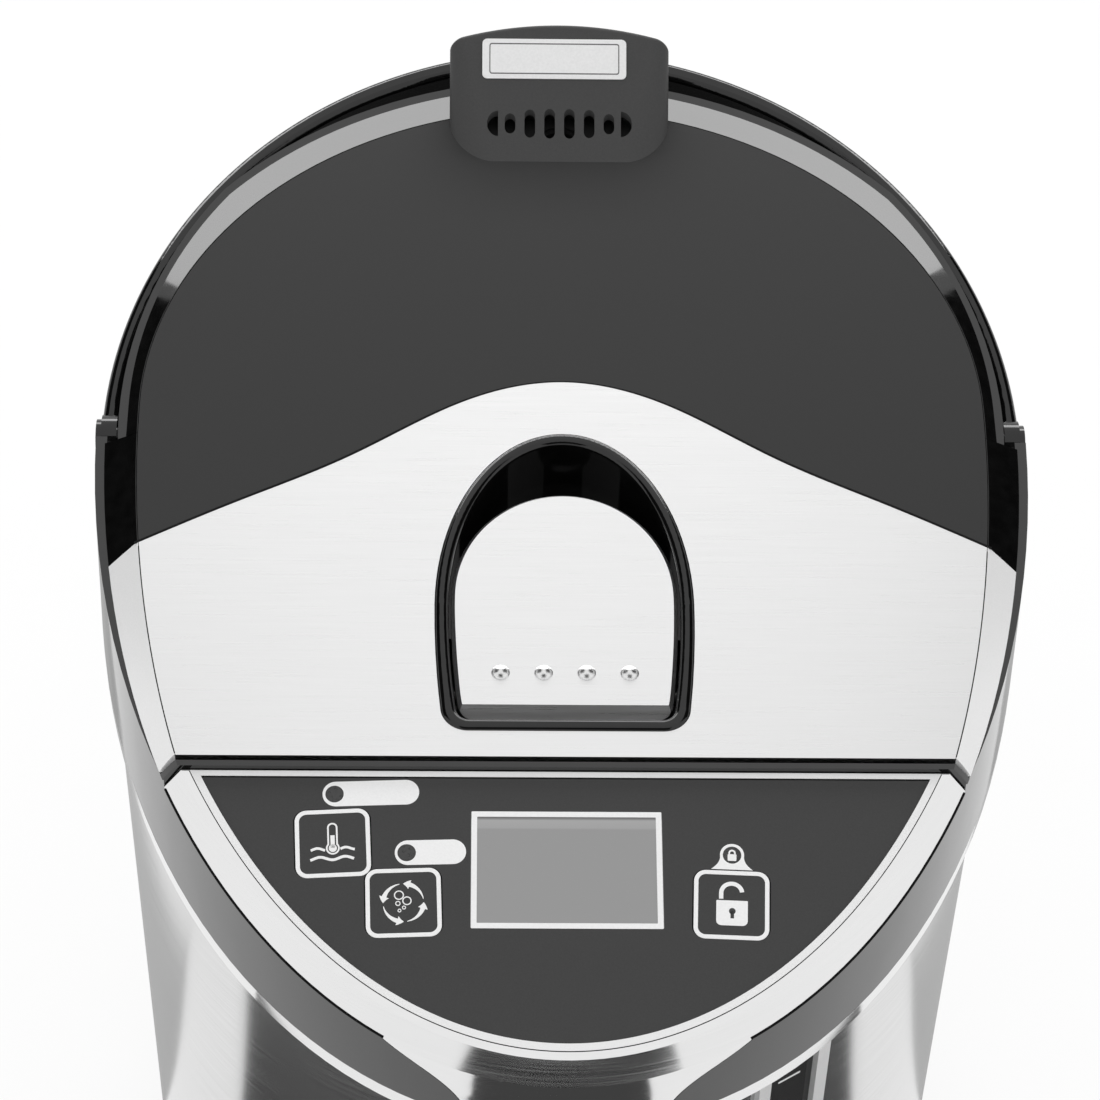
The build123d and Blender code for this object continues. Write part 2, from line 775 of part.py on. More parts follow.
trim = trim - (ledge_hole & ahead(membrane_back + ledge_width) & above(trim_level - trim_skin, panel_tilt))
nodes["front_trim"] = trim
floor_half = nose_half - nose_wall - skin_gap
floor_front = head_front - nose_wall - nose_wall - skin_gap
floor_plate = block(-floor_half, floor_half, -floor_front, -nose_back, nose_level,
                    nose_level + nose_floor_thick)
floor_plate = floor_plate + block(-floor_half, floor_half, -nose_back - nose_wall, -nose_back, nose_level,
                                  strip_bottom)
floor_plate = floor_plate - rod(nozzle_radius, (0, -outlet_place), 0, span)

# Panel membrane with its keys, lamps and display
membrane = tilted_egg(membrane_side, membrane_front, membrane_side, panel_level - membrane_sink, panel_tilt)
membrane = extrude(membrane, amount=membrane_thick, dir=(0, 0, -1)) & ahead(membrane_back)
key_hole = extrude(RectangleRounded(key_width + 2 * key_gap, key_length + 2 * key_gap, key_corner + key_gap),
                   amount=overrun / 2, both=True)
board_face = board_drop - board_thick
switches = []
key_places = (("setting", key_setting), ("reboil", key_reboil), ("lock", key_lock))
for (name, place), turn in zip(key_places, key_turns):
    key_place = on_panel(place, membrane_sink) * Rot(0, 0, turn)
    membrane = membrane - key_place * key_hole
    nodes["button_" + name] = key_place * pill_plate(key_width, key_length, key_corner, key_depth)
    switch_height = board_face - membrane_sink - key_depth - key_travel
    switches.append(on_panel(place, board_face) * Box(switch_side, switch_side, switch_height, align=LOW))
lamps = []
for place in (lamp_setting, lamp_reboil, lamp_lock):
    lamp = on_panel(place, membrane_sink) * Cylinder(lamp_radius, membrane_thick - skin_gap, align=HIGH)
    membrane = membrane - on_panel(place, membrane_sink) * Cylinder(lamp_radius, overrun)
    lamps.append(lamp)
lcd_place = on_panel((0, lcd_middle), membrane_sink)
window_hole = Box(lcd_width, lcd_length, overrun)
membrane = membrane - lcd_place * window_hole
window = lcd_place * Box(lcd_width, lcd_length, membrane_thick - skin_gap, align=HIGH)
nodes["panel_membrane"] = membrane
nodes["indicator_lenses"] = lamps
nodes["lcd_window"] = window
nodes["lcd_module"] = lcd_place * Pos(0, 0, -membrane_thick) * Box(
    lcd_width + lcd_module_margin, lcd_length + lcd_module_margin, board_face - membrane_sink - membrane_thick,
    align=HIGH)
board = tilted_egg(membrane_side - board_margin, membrane_front - board_margin, membrane_side,
                   panel_level - board_face / cos(radians(panel_tilt)), panel_tilt)
board = extrude(board, amount=board_thick, dir=(0, 0, -1)) & ahead(board_back)
nodes["control_board"] = board
nodes["key_switches"] = switches

# Lid skin in four pieces, parted along the upper edge and along the wave
skin = lid_shape(0, 0) - lid_shape(lid_skin, lid_skin)
seam_cut = Pos(0, -lid_seam, lid_height - tan(radians(lid_tilt)) * lid_seam) * Rot(-lid_seam_draft, 0,
                                                                                   0) * Box(
    span, span, span, align=(Align.CENTER, Align.MAX, Align.CENTER))
skin = skin - seam_cut - notch(lid_notch_gap)
rear_notch = block(-bracket_half - hinge_gap, bracket_half + hinge_gap, post_front - slide_gap, span, 0, span)
skin = skin - rear_notch
skin = skin - rod(duct_radius, (0, duct_place), 0, span)
wave_right = [(0, wave_crest)]
for side_share, rise_share in wave_shares:
    wave_right.append((wave_side * side_share, wave_crest - (wave_crest + wave_depth) * (1 - rise_share)))
wave_right.append((wave_side, -wave_depth))
last, before = wave_right[-1], wave_right[-2]
reach = overrun / (last[0] - before[0])
wave_right.append((last[0] + reach * (last[0] - before[0]), last[1] + reach * (last[1] - before[1])))
wave_points = [(-x, y) for x, y in reversed(wave_right[1:])] + wave_right
wave = Spline(wave_points)
wave_ends = Polyline(wave_points[-1], (wave_points[-1][0], -span), (wave_points[0][0], -span), wave_points[0])
wave_body = extrude(make_face([wave, wave_ends]), amount=span)
wave_zone = Pos(0, skin_gap, 0) * wave_body
plate_inset = skin_gap + skin_gap
top_zone = column(lid_side - plate_inset, lid_front - plate_inset, lid_back - plate_inset, 0, span)
edge_zone = column(lid_side - skin_gap, lid_front - skin_gap, lid_back - skin_gap, 0, span)
cup_outline = dee(cup_side, cup_crown, cup_middle, cup_reach, cup_reach_side, cup_corner)
cup_room = extrude(cup_outline, amount=span)
nodes["lid_front_plate"] = (skin & wave_body & top_zone) - cup_room
nodes["lid_front_trim"] = (skin & wave_body) - edge_zone
nodes["lid_top_plate"] = (skin - wave_zone) & top_zone
rim = skin - wave_zone - edge_zone
rim_part = handle_boss + lid_notch_gap
nodes["lid_rim"] = rim & behind(rim_part)
nodes["lid_rim_corners"] = rim & ahead(rim_part + skin_gap)

# Shape and roof of the vent hood
hood_angle = degrees(atan2(hood_top - hood_foot, hood_back - hood_tip))
hood_slope = tan(radians(hood_angle))


def hood_section(place, corner, inset, drop):
    """Upright cross-section of the hood with rounded upper corners, its top on the sloping roof."""
    top = lid_height + hood_foot + (place - hood_tip) * hood_slope - drop
    half = hood_side - inset
    face = Pos(0, top / 2) * Rectangle(2 * half, top)
    face = fillet(face.vertices().sort_by(Axis.Y)[2:4], corner - inset)
    return Plane(origin=(0, place, 0), x_dir=(1, 0, 0), z_dir=(0, -1, 0)) * face


def hood_body(inset, drop):
    """Hood whose roof corners grow rounder to the front, cut at the back by the body's circle."""
    rear = hood_section(head_side, hood_rear_corner, inset, drop)
    front = hood_section(hood_tip, hood_tip_corner, inset, drop)
    return loft([rear, front], ruled=True) & rod(hood_back - inset, (0, 0), 0, span)


def hood_roof(drop):
    """Everything under the sloping top of the hood."""
    return Pos(0, hood_tip, lid_height + hood_foot - drop) * Rot(hood_angle, 0, 0) * Box(span, span, span,
                                                                                         align=HIGH)


# Lid frame: a tray under the skin that carries the hinge knuckle
under_skin = lid_shape(lid_skin, lid_skin) + (
    column(frame_side, frame_front, frame_back, 0, span) & below(lid_height - rim_drop - lid_skin, rim_tilt))
frame = column(frame_side, frame_front, frame_back, frame_bottom, span) & behind(frame_nose) & under_skin
frame_room = column(frame_side - frame_wall, frame_front - frame_wall, frame_back - frame_wall, frame_inside,
                    span)
frame = frame - (frame_room & behind(frame_nose - frame_wall)) - notch(lid_notch_gap)
frame = frame - block(-bracket_half - hinge_gap, bracket_half + hinge_gap, post_back, span, 0, span)
post = block(-knuckle_half, knuckle_half, post_front, post_back, frame_bottom, hinge_height + hinge_radius)
arm = block(-knuckle_half, knuckle_half, post_front, hinge_place, hinge_height - hinge_radius + hinge_gap,
            hinge_height + hinge_radius)
knuckle = cross_rod(hinge_radius, -knuckle_half, knuckle_half, hinge_place, hinge_height)
hood_inside = hood_roof(hood_wall + hood_wall)
frame = frame + ((post + arm + knuckle) & hood_inside)
frame = frame - cross_rod(hinge_pin_radius, -knuckle_half, knuckle_half, hinge_place, hinge_height)
bolt_low = frame_inside + slide_gap
bolt_room = block(-bolt_width / 2 - slide_gap, bolt_width / 2 + slide_gap, -span,
                  -frame_nose + frame_wall + overrun,
                  frame_inside, bolt_low + bolt_height + slide_gap)
frame = frame - (bolt_room & ahead(frame_nose - frame_wall))
frame = frame - rod(duct_radius, (0, duct_place), 0, span)
nodes["lid_frame"] = frame

# Lever cup, lever with its crank, latch bolt
cup_inner = dee(cup_side - cup_lip, cup_crown - cup_lip, cup_middle, cup_reach - cup_lip,
                cup_reach_side - cup_lip, cup_corner - cup_lip)
cup_base = lid_height - cup_depth
cup = Pos(0, 0, cup_base) * extrude(cup_outline, amount=span) & below(lid_height + cup_stand, lid_tilt)
cup = cup - extrude(cup_inner, amount=span)
cup = fillet(cup.faces().sort_by(Axis.Z)[-1].edges(), cup_round)
cup_plate = Pos(0, 0, cup_base - cup_floor) * extrude(cup_outline, amount=cup_floor)
cup = cup + (cup_plate & behind(cup_floor_reach))
crank_level = lid_height - tan(radians(lid_tilt)) * crank_seat - crank_drop
pin_reach = cup_reach_side - cup_lip / 4
cup = cup - cross_rod(crank_pin_radius, -pin_reach, pin_reach, -crank_seat, crank_level)
nodes["lever_cup"] = cup
lever_face = dee(lever_side, lever_crown, lever_middle, lever_reach, lever_reach_side, lever_corner)
lever = extrude(lever_face, amount=span) & below(lid_height - lever_sink, lid_tilt)
lever = lever & above(lid_height - lever_sink - lever_thick, lid_tilt)
lever = chamfer(lever.faces().filter_by(lambda face: face.normal_at().Z > cos(radians(rim_tilt))).edges(),
                lever_bevel)
nose_line = Pos(0, -lever_reach,
                lid_height - lever_sink - lever_nose_drop - tan(radians(lid_tilt)) * lever_reach)
nose_slope = degrees(atan2(lever_nose_drop, lever_nose_run)) + lid_tilt
lever = lever - nose_line * Rot(nose_slope, 0, 0) * Box(span, span, span, align=LOW)
bumps = slope(lid_height - lever_sink - bump_sink, lid_tilt)
for step_count in range(bump_count):
    place = (step_count - (bump_count - 1) / 2) * bump_pitch
    lever = lever + bumps * Pos(place, -bump_row, 0) * Sphere(bump_radius)
hub_half = lever_reach_side - lever_corner
lever = lever + cross_rod(crank_hub, -hub_half, hub_half, -crank_seat, crank_level)
lever = lever + block(-crank_width / 2, crank_width / 2, -crank_seat - crank_thick / 2,
                      -crank_seat + crank_thick / 2,
                      crank_level - crank_length, crank_level)
lever = lever - cross_rod(crank_pin_radius + run_gap, -span, span, -crank_seat, crank_level)
nodes["lever_plate"] = lever
nodes["lever_pin"] = cross_rod(crank_pin_radius, -pin_reach, pin_reach, -crank_seat, crank_level)
bolt = block(-bolt_width / 2, bolt_width / 2, -bolt_tip, -bolt_tail, bolt_low, bolt_low + bolt_height)
bolt = bolt - block(-crank_width / 2 - slide_gap, crank_width / 2 + slide_gap, -crank_seat - bolt_pocket / 2,
                    -crank_seat + bolt_pocket / 2, 0, span)
nodes["latch_bolt"] = bolt

# Inner lid plate and gasket
plug_hole = rod(duct_radius, (0, duct_place), 0, span)
gasket_low = tank_top + gasket_gap
nodes["lid_inner_plate"] = rod(plug_radius, (0, 0), frame_bottom - plug_plate, frame_bottom) - plug_hole
gasket = rod(gasket_radius, (0, 0), gasket_low, frame_bottom) - rod(plug_radius, (0, 0), 0, span)
nodes["lid_gasket"] = gasket - plug_hole

# Steam duct with its spill valve
duct_top = lid_height + tan(radians(lid_tilt)) * (duct_place - duct_radius)
duct_low = frame_bottom - plug_plate
duct = rod(duct_radius, (0, duct_place), duct_low, duct_top)
duct_bore = duct_radius - duct_wall
duct = duct - rod(duct_bore, (0, duct_place), duct_low + valve_seat, duct_top + overrun)
duct = duct - rod(valve_radius - valve_seat, (0, duct_place), 0, span)
nodes["steam_duct"] = duct
valve_low = duct_low + valve_seat
nodes["spill_valve"] = rod(valve_radius, (0, duct_place), valve_low, valve_low + valve_height)

# Vent hood over the hinge
hood = hood_body(0, 0) & above(lid_height, lid_tilt)
roof_edge = hood.edges().filter_by(lambda edge: edge.center().Y > hood_shoulder).sort_by(Axis.Z)[-1]
hood = fillet(roof_edge, hood_round)
hood = hood - hood_body(hood_wall, hood_wall / cos(radians(hood_angle)))
hood = hood - block(-span, span, hood_shoulder + hood_wall, span, 0, lid_height + hood_back_gap)
hood = hood - block(-bracket_half - hinge_gap, bracket_half + hinge_gap, hood_shoulder + hood_wall, span, 0,
                    lid_height + hood_notch_top)
slot_middle = (slot_back + slot_front) / 2
slot_length = slot_back - slot_front
for step_count, end_share in enumerate(slot_end_shares):
    place = (step_count - (slot_count - 1) / 2) * slot_pitch
    cut = Pos(place, slot_middle, 0) * SlotOverall(slot_length * end_share, slot_width, rotation=90)
    hood = hood - extrude(cut, amount=span)
for turn in (-1, 1):
    left, right = sorted((turn * moon_place, turn * (moon_place + overrun)))
    moon = rod(moon_radius, (turn * moon_place, slot_middle), 0, span)
    hood = hood - (moon & block(left, right, 0, span, 0, span))
nodes["vent_hood"] = hood
label_seat = lid_height + hood_foot + (label_place - hood_tip) * hood_slope
label_plane = Pos(-label_offset, label_place, label_seat) * Rot(hood_angle, 0, 0)
nodes["label_plate"] = label_plane * extrude(RectangleRounded(label_width, label_length, label_corner),
                                             amount=label_thick)

# Hinge bracket on the collar and its pin
ear_in = knuckle_half + hinge_gap
ear_out = ear_in + ear_width
bracket_back = head_top_side - collar_wall
bracket = block(-bracket_half, bracket_half, bracket_front, bracket_back, deck_top,
                hinge_height - hinge_radius - hinge_gap)
bracket = bracket & head(collar_wall + skin_gap, head_bottom)
for turn in (-1, 1):
    left, right = sorted((turn * ear_in, turn * ear_out))
    neck = block(left, right, bracket_front, hinge_place + hinge_radius,
                 hinge_height - hinge_radius - hinge_gap,
                 hinge_height)
    bracket = bracket + (neck & behind(-bracket_front)) + cross_rod(hinge_radius, left, right, hinge_place,
                                                                    hinge_height)
bracket = bracket - cross_rod(hinge_pin_radius + run_gap, -span, span, hinge_place, hinge_height)
bracket = bracket - notch(handle_gap)
nodes["hinge_bracket"] = bracket
nodes["hinge_pin"] = cross_rod(hinge_pin_radius, -ear_out, ear_out, hinge_place, hinge_height)

# Folding handle with its two pins
bow_outer = egg(handle_side, handle_side, handle_reach)
bow_inner = egg(handle_inside, handle_inside, handle_reach - handle_bow)
bow = extrude(bow_outer - bow_inner, amount=handle_height / 2, both=True)
long_edges = [edge for edge in bow.edges() if edge.length > handle_reach]
bow = fillet(long_edges, handle_round) & behind(0)
for turn in (-1, 1):
    left, right = sorted((turn * handle_inside, turn * handle_side))
    bow = bow + cross_rod(handle_boss, left, right, 0, 0)
bow = slope(pivot_level, handle_tilt) * bow
pins = []
for turn in (-1, 1):
    left, right = sorted((turn * pin_seat, turn * (handle_side + cap_thick)))
    bow = bow - cross_rod(pin_radius + run_gap, left, right, 0, pivot_level)
    pin = cross_rod(pin_radius, left, right, 0, pivot_level)
    left, right = sorted((turn * (handle_side + run_gap), turn * (handle_side + cap_thick)))
    pins.append(pin + cross_rod(cap_radius, left, right, 0, pivot_level))
nodes["handle"] = bow
nodes["handle_pins"] = pins

# Cup lever under the nose with its pin and switch
paddle_level = nose_level - paddle_drop
paddle_pin_half = nose_half - nose_wall / 2
paddle = block(-paddle_width / 2, paddle_width / 2, -paddle_place - paddle_thick / 2,
               -paddle_place + paddle_thick / 2,
               paddle_level - paddle_length, paddle_level)
paddle = paddle + cross_rod(paddle_hub, -paddle_width / 2, paddle_width / 2, -paddle_place, paddle_level)
paddle = paddle - cross_rod(paddle_pin_radius + run_gap, -span, span, -paddle_place, paddle_level)
nodes["cup_lever"] = paddle
for turn in (-1, 1):
    left, right = sorted((turn * (paddle_width / 2 + slide_gap), turn * paddle_pin_half))
    ear = cross_rod(paddle_ear, left, right, -paddle_place, paddle_level)
    ear = ear + block(left, right, -paddle_place - paddle_ear, -paddle_place + paddle_ear, paddle_level,
                      nose_level)
    floor_plate = floor_plate + ear
floor_plate = floor_plate - cross_rod(paddle_pin_radius, -paddle_pin_half, paddle_pin_half, -paddle_place,
                                      paddle_level)
nodes["nose_floor"] = floor_plate
nodes["cup_lever_pin"] = cross_rod(paddle_pin_radius, -paddle_pin_half, paddle_pin_half, -paddle_place,
                                   paddle_level)
switch_base = nose_level + nose_floor_thick
nodes["cup_switch"] = block(-cup_switch_width / 2, cup_switch_width / 2,
                            -paddle_place - cup_switch_length / 2,
                            -paddle_place + cup_switch_length / 2, switch_base, switch_base + cup_switch_height)

# Power board on posts that stand on the base plate
board_low = ring_bottom + power_post
power_board = block(-power_board_width / 2, power_board_width / 2, power_board_place - power_board_length / 2,
                    power_board_place + power_board_length / 2, board_low, board_low + power_board_thick)
for side in (-1, 1):
    for end in (-1, 1):
        place = (side * (power_board_width / 2 - power_post_radius),
                 power_board_place + end * (power_board_length / 2 - power_post_radius))
        power_board = power_board + rod(power_post_radius, place, ring_bottom, board_low)
nodes["power_board"] = power_board

# Every node moves so that the origin is under the middle of the whole part
os.makedirs("parts", exist_ok=True)
for name, shape in nodes.items():
    pieces = shape if isinstance(shape, list) else [shape]
    solids = [solid for piece in pieces for solid in piece.solids()]
    placed = [Pos(0, axis_place, 0) * solid for solid in solids]
    whole = placed[0] if len(placed) == 1 else Compound(children=placed)
    export_step(whole, "parts/" + name + ".step")
    print(name, len(solids), round(sum(solid.volume for solid in solids), 1))
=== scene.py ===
import bmesh
import bpy
import numpy as np
from mathutils import Matrix


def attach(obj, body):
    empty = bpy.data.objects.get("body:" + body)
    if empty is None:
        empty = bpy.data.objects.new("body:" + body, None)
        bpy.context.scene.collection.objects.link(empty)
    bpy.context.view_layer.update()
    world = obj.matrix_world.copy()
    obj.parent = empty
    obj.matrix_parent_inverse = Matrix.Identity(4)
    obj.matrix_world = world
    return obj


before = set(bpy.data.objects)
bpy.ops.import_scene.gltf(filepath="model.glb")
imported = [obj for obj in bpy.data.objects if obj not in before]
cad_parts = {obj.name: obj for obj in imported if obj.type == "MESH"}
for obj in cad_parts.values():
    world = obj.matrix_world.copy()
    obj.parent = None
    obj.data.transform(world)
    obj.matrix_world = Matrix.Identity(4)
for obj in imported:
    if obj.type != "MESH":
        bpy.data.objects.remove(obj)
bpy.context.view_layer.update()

# Sizes of the pot in millimetres. Y counts from the body axis, which stands at AXIS_Y.
# The lid plane meets the axis at the height LID.
MM = 0.001
AXIS_Y = 23.5
LID = 292.0
LID_RISE = np.tan(np.radians(4.0))
PANEL_RISE = np.tan(np.radians(11.0))
PANEL_SEAT = 97.0
PANEL_DROP = 7.8
PANEL_SINK = 0.4
MEMBRANE_SIDE = 99.8
MEMBRANE_FRONT = 160.4
MEMBRANE_BACK = 100.9
BAR_FRONT = 99.3
TRIM_SIDE = 107.1
TRIM_FRONT = 166.5
TRIM_DROP = 6.0
DISPLAY_Y = -121.8
DISPLAY_LENGTH = 24.0
LABEL_MIDDLE = np.array([-1.3, 98.1])
LABEL_RISE = np.tan(np.radians(31.83))
LABEL_HEIGHT = 311.25
GAUGE_TURN = np.radians(32.0)
GAUGE_FACE = 107.52

# How far print stands above its face and reaches below it. Points closer than MERGE, in metres, become one.
PRINT = 0.05
ROOT = 0.05
BORDER_LIFT = 0.04
GROOVE_LIFT = 0.02
SEAM_LIFT = 0.03
KEYHOLE_LIFT = 1.6 * PRINT
MERGE = 1e-7


# Surfaces

def tube(grid, closed):
    """Points and faces of a profile carried along a path: rows follow the path, and columns go round the
    profile, which closes on itself. A closed path joins its last row to its first. An open one is drawn
    together at both ends."""
    if not closed:
        ends = np.repeat(grid[[0, -1]].mean(1)[:, None], grid.shape[1], 1)
        grid = np.concatenate([ends[:1], grid, ends[1:]])
    rows, cols = grid.shape[:2]
    i, j = np.meshgrid(np.arange(rows if closed else rows - 1), np.arange(cols), indexing="ij")
    k, m = (i + 1) % rows, (j + 1) % cols
    faces = np.stack([i * cols + j, k * cols + j, k * cols + m, i * cols + m], -1).reshape(-1, 4)
    return grid.reshape(-1, 3), faces


def piece(name, grids, body, look, smooth=False):
    """One object from several tubes, moved to the body axis and turned into metres. Points that meet are
    merged and the faces turned outwards. It rides on a body and takes a finish."""
    points, faces, count = [], [], 0
    for grid, closed in grids:
        some, quads = tube(grid, closed)
        points.append(some)
        faces.append(quads + count)
        count += len(some)
    points = np.concatenate(points) * MM + np.array([0.0, AXIS_Y * MM, 0.0])
    mesh = bpy.data.meshes.new(name)
    mesh.from_pydata(points.tolist(), [], np.concatenate(faces).tolist())
    shape = bmesh.new()
    shape.from_mesh(mesh)
    bmesh.ops.remove_doubles(shape, verts=shape.verts, dist=MERGE)
    bmesh.ops.recalc_face_normals(shape, faces=shape.faces)
    shape.to_mesh(mesh)
    shape.free()
    mesh.polygons.foreach_set("use_smooth", np.full(len(mesh.polygons), smooth))
    mesh.materials.append(look)
    thing = bpy.data.objects.new(name, mesh)
    bpy.context.scene.collection.objects.link(thing)
    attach(thing, body)


def panel_height(x, y):
    """Height of the panel's printed face: the panel plane rises to the back, and the face lies
    just under it."""
    return LID - PANEL_DROP - PANEL_SINK + PANEL_RISE * (y + PANEL_SEAT)


def trim_height(x, y):
    """Height of the flat of the trim round the panel, in the panel plane itself."""
    return panel_height(x, y) + PANEL_SINK


def lid_height(x, y):
    """Height of the lid plane, which rises to the back."""
    return LID + LID_RISE * y


def label_height(x, y):
    """Height of the label's face, which rises to the back with the roof of the hood."""
    return LABEL_HEIGHT + LABEL_RISE * (y - LABEL_MIDDLE[1])


def laid(shapes, height=panel_height, lift=PRINT):
    """Flat prints as tubes: each shape is a pair of lines in plan, joined by a top face that stands above
    the given height by the lift, with short walls down to a root below it."""
    grids = []
    for a, b, closed in shapes:
        rows = [np.column_stack([line, height(line[:, 0], line[:, 1]) + rise])
                for line, rise in ((a, -ROOT), (a, lift), (b, lift), (b, -ROOT))]
        grids.append((np.stack(rows, 1), closed))
    return grids


def moved(shapes, place, turn):
    """Shapes turned by an angle in degrees about their own origin, then carried to a place."""
    c, s = np.cos(np.radians(turn)), np.sin(np.radians(turn))
    spin = np.array([[c, s], [-s, c]])
    return [(a @ spin + place, b @ spin + place, closed) for a, b, closed in shapes]


def arc(x, y, across, up, start, end, count):
    """Points on an ellipse about a centre, from one angle in degrees to another."""
    turn = np.radians(np.linspace(start, end, count))
    return np.column_stack([x + across * np.cos(turn), y + up * np.sin(turn)])


def circle(x, y, radius, count=48):
    """Points round a circle: centre plus radius times the cosine and sine of the angle."""
    turn = np.linspace(0, 2 * np.pi, count, endpoint=False)
    return np.column_stack([x + radius * np.cos(turn), y + radius * np.sin(turn)])


def rounded_box(x, y, width, height, corners, count=12):
    """Points round a box with quarter-circle corners: one radius for all, or four, from the right
    back one on."""
    corners = np.broadcast_to(corners, 4)
    quarter = np.linspace(0, np.pi / 2, count)
    line = []
    for step, (sx, sy) in enumerate(((1, 1), (-1, 1), (-1, -1), (1, -1))):
        angle = quarter + step * np.pi / 2
        r = corners[step]
        line.append(np.column_stack([x + sx * (width / 2 - r) + r * np.cos(angle),
                                     y + sy * (height / 2 - r) + r * np.sin(angle)]))
    return np.concatenate(line)


def full(outline, x, y):
    """Outline paired with its own middle point, so that the print between them is full."""
    return outline, np.repeat([[x, y]], len(outline), 0), True


def ring(x, y, radius, width):
    """Round ring of a given width inside a radius."""
    return circle(x, y, radius), circle(x, y, radius - width), True


def even(outline, count):
    """The same closed outline with points at equal steps of its length."""
    loop = np.concatenate([outline, outline[:1]])
    run = np.concatenate([[0.0], np.cumsum(np.linalg.norm(np.diff(loop, axis=0), axis=1))])
    at = np.linspace(0, run[-1], count, endpoint=False)
    return np.column_stack([np.interp(at, run, loop[:, 0]), np.interp(at, run, loop[:, 1])])


def pierced(outline, x, y, radius, count=240):
    """Outline with a round hole: each of its points is paired with the hole's point in the same
    direction."""
    outline = even(outline, count)
    way = outline - [x, y]
    way = way / np.linalg.norm(way, axis=1)[:, None]
    return outline, np.array([x, y]) + radius * way, True


def stroke(path, width):
    """Line of a given width: the path shifted to both sides along its normal."""
    step = np.gradient(path, axis=0)
    step /= np.linalg.norm(step, axis=1)[:, None]
    side = np.column_stack([-step[:, 1], step[:, 0]]) * width / 2
    return path + side, path - side, False


def straight(start, end, count=6):
    """Points in equal steps from one point to another."""
    return np.linspace(start, end, count)


def wave(x, y, width, height, waves, start, count=40):
    """Wavy line: a sine across its width with a number of waves from a starting phase."""
    t = np.linspace(0, 1, count)
    return np.column_stack([x + width * (t - 0.5), y + height * np.sin(2 * np.pi * waves * t + start)])


ARROW_NECK = 0.76
ARROW_STEP = 0.7601
ARROW_TAIL = 0.12


def arrow(radius, start, sweep, body, head):
    """Curved arrow on a circle: the half width grows along the body, steps out at the head and closes at
    the tip."""
    share = np.concatenate([np.linspace(0, ARROW_NECK, 20), np.linspace(ARROW_STEP, 1, 8)])
    shaft = body * (ARROW_TAIL + (1 - ARROW_TAIL) * share / ARROW_NECK)
    half = np.where(share < ARROW_STEP, shaft, head * (1 - share) / (1 - ARROW_NECK))
    angle = np.radians(start + sweep * share)[:, None]
    way = np.concatenate([np.cos(angle), np.sin(angle)], 1)
    return (radius + half)[:, None] * way, (radius - half)[:, None] * way, False


def smooth_line(points, count):
    """Smooth line through points: a cubic of the first coordinate on each run, with its bend matched
    from run to run and none at the two ends."""
    x, y = np.asarray(points, float).T
    step = np.diff(x)
    slope = np.diff(y) / step
    system = np.eye(len(x))
    inner = np.arange(1, len(x) - 1)
    system[inner, inner - 1] = step[:-1]
    system[inner, inner] = 2 * (step[:-1] + step[1:])
    system[inner, inner + 1] = step[1:]
    bend = np.linalg.solve(system, np.concatenate([[0.0], 3 * np.diff(slope), [0.0]]))
    at = np.linspace(x[0], x[-1], count)
    run = np.clip(np.searchsorted(x, at) - 1, 0, len(step) - 1)
    go = at - x[run]
    rise = slope[run] - step[run] * (2 * bend[run] + bend[run + 1]) / 3
    curl = (bend[run + 1] - bend[run]) / (3 * step[run])
    return np.column_stack([at, y[run] + go * (rise + go * (bend[run] + go * curl))])


# Finishes

EVEN = (1.0, 1.0, 1.0)
NOISE_LOW = 0.3
NOISE_HIGH = 0.7
BRUSH_DEPTH = 0.00001
MOULD_STRENGTH = 0.3


def finish(name, colour, rough, metal=0.0):
    """Principled finish with its constant values on the sockets. Returns the material, its nodes and
    the shader."""
    material = bpy.data.materials.new(name)
    material.use_nodes = True
    nodes = material.node_tree.nodes
    shader = nodes["Principled BSDF"]
    shader.inputs["Base Color"].default_value = (*colour, 1.0)
    shader.inputs["Roughness"].default_value = rough
    shader.inputs["Metallic"].default_value = metal
    return material, nodes, shader


def wire(material, out, into):
    """Link from one socket of a material's nodes to another."""
    material.node_tree.links.new(out, into)


def grain(material, nodes, scale, detail, size):
    """Noise on object coordinates, stretched by a scale per axis, in cycles per metre."""
    place = nodes.new("ShaderNodeTexCoord")
    stretch = nodes.new("ShaderNodeMapping")
    stretch.inputs["Scale"].default_value = scale
    noise = nodes.new("ShaderNodeTexNoise")
    noise.inputs["Scale"].default_value = size
    noise.inputs["Detail"].default_value = detail
    wire(material, place.outputs["Object"], stretch.inputs["Vector"])
    wire(material, stretch.outputs["Vector"], noise.inputs["Vector"])
    return noise.outputs["Fac"]


def spread(material, nodes, source, low, high):
    """Noise value, which mostly lies between its usual limits, carried to a range."""
    span = nodes.new("ShaderNodeMapRange")
    span.inputs["From Min"].default_value = NOISE_LOW
    span.inputs["From Max"].default_value = NOISE_HIGH
    span.inputs["To Min"].default_value = low
    span.inputs["To Max"].default_value = high
    wire(material, source, span.inputs["Value"])
    return span.outputs["Result"]


def shade(material, nodes, source, dark, light):
    """Colour between two tones by a noise value."""
    mix = nodes.new("ShaderNodeMix")
    mix.data_type = "RGBA"
    mix.inputs["A"].default_value = (*dark, 1.0)
    mix.inputs["B"].default_value = (*light, 1.0)
    wire(material, spread(material, nodes, source, 0.0, 1.0), mix.inputs["Factor"])
    return mix.outputs["Result"]


def relief(material, nodes, shader, source, strength, depth):
    """Bump from a height in metres."""
    bump = nodes.new("ShaderNodeBump")
    bump.inputs["Strength"].default_value = strength
    bump.inputs["Distance"].default_value = depth
    wire(material, source, bump.inputs["Height"])
    wire(material, bump.outputs["Normal"], shader.inputs["Normal"])


def vary(material, nodes, shader, source, tones, rough):
    """Base colour between two tones and roughness between two limits, by one noise value."""
    wire(material, shade(material, nodes, source, *tones), shader.inputs["Base Color"])
    wire(material, spread(material, nodes, source, *rough), shader.inputs["Roughness"])


def grey(value):
    """Colour of one value."""
    return (value, value, value)


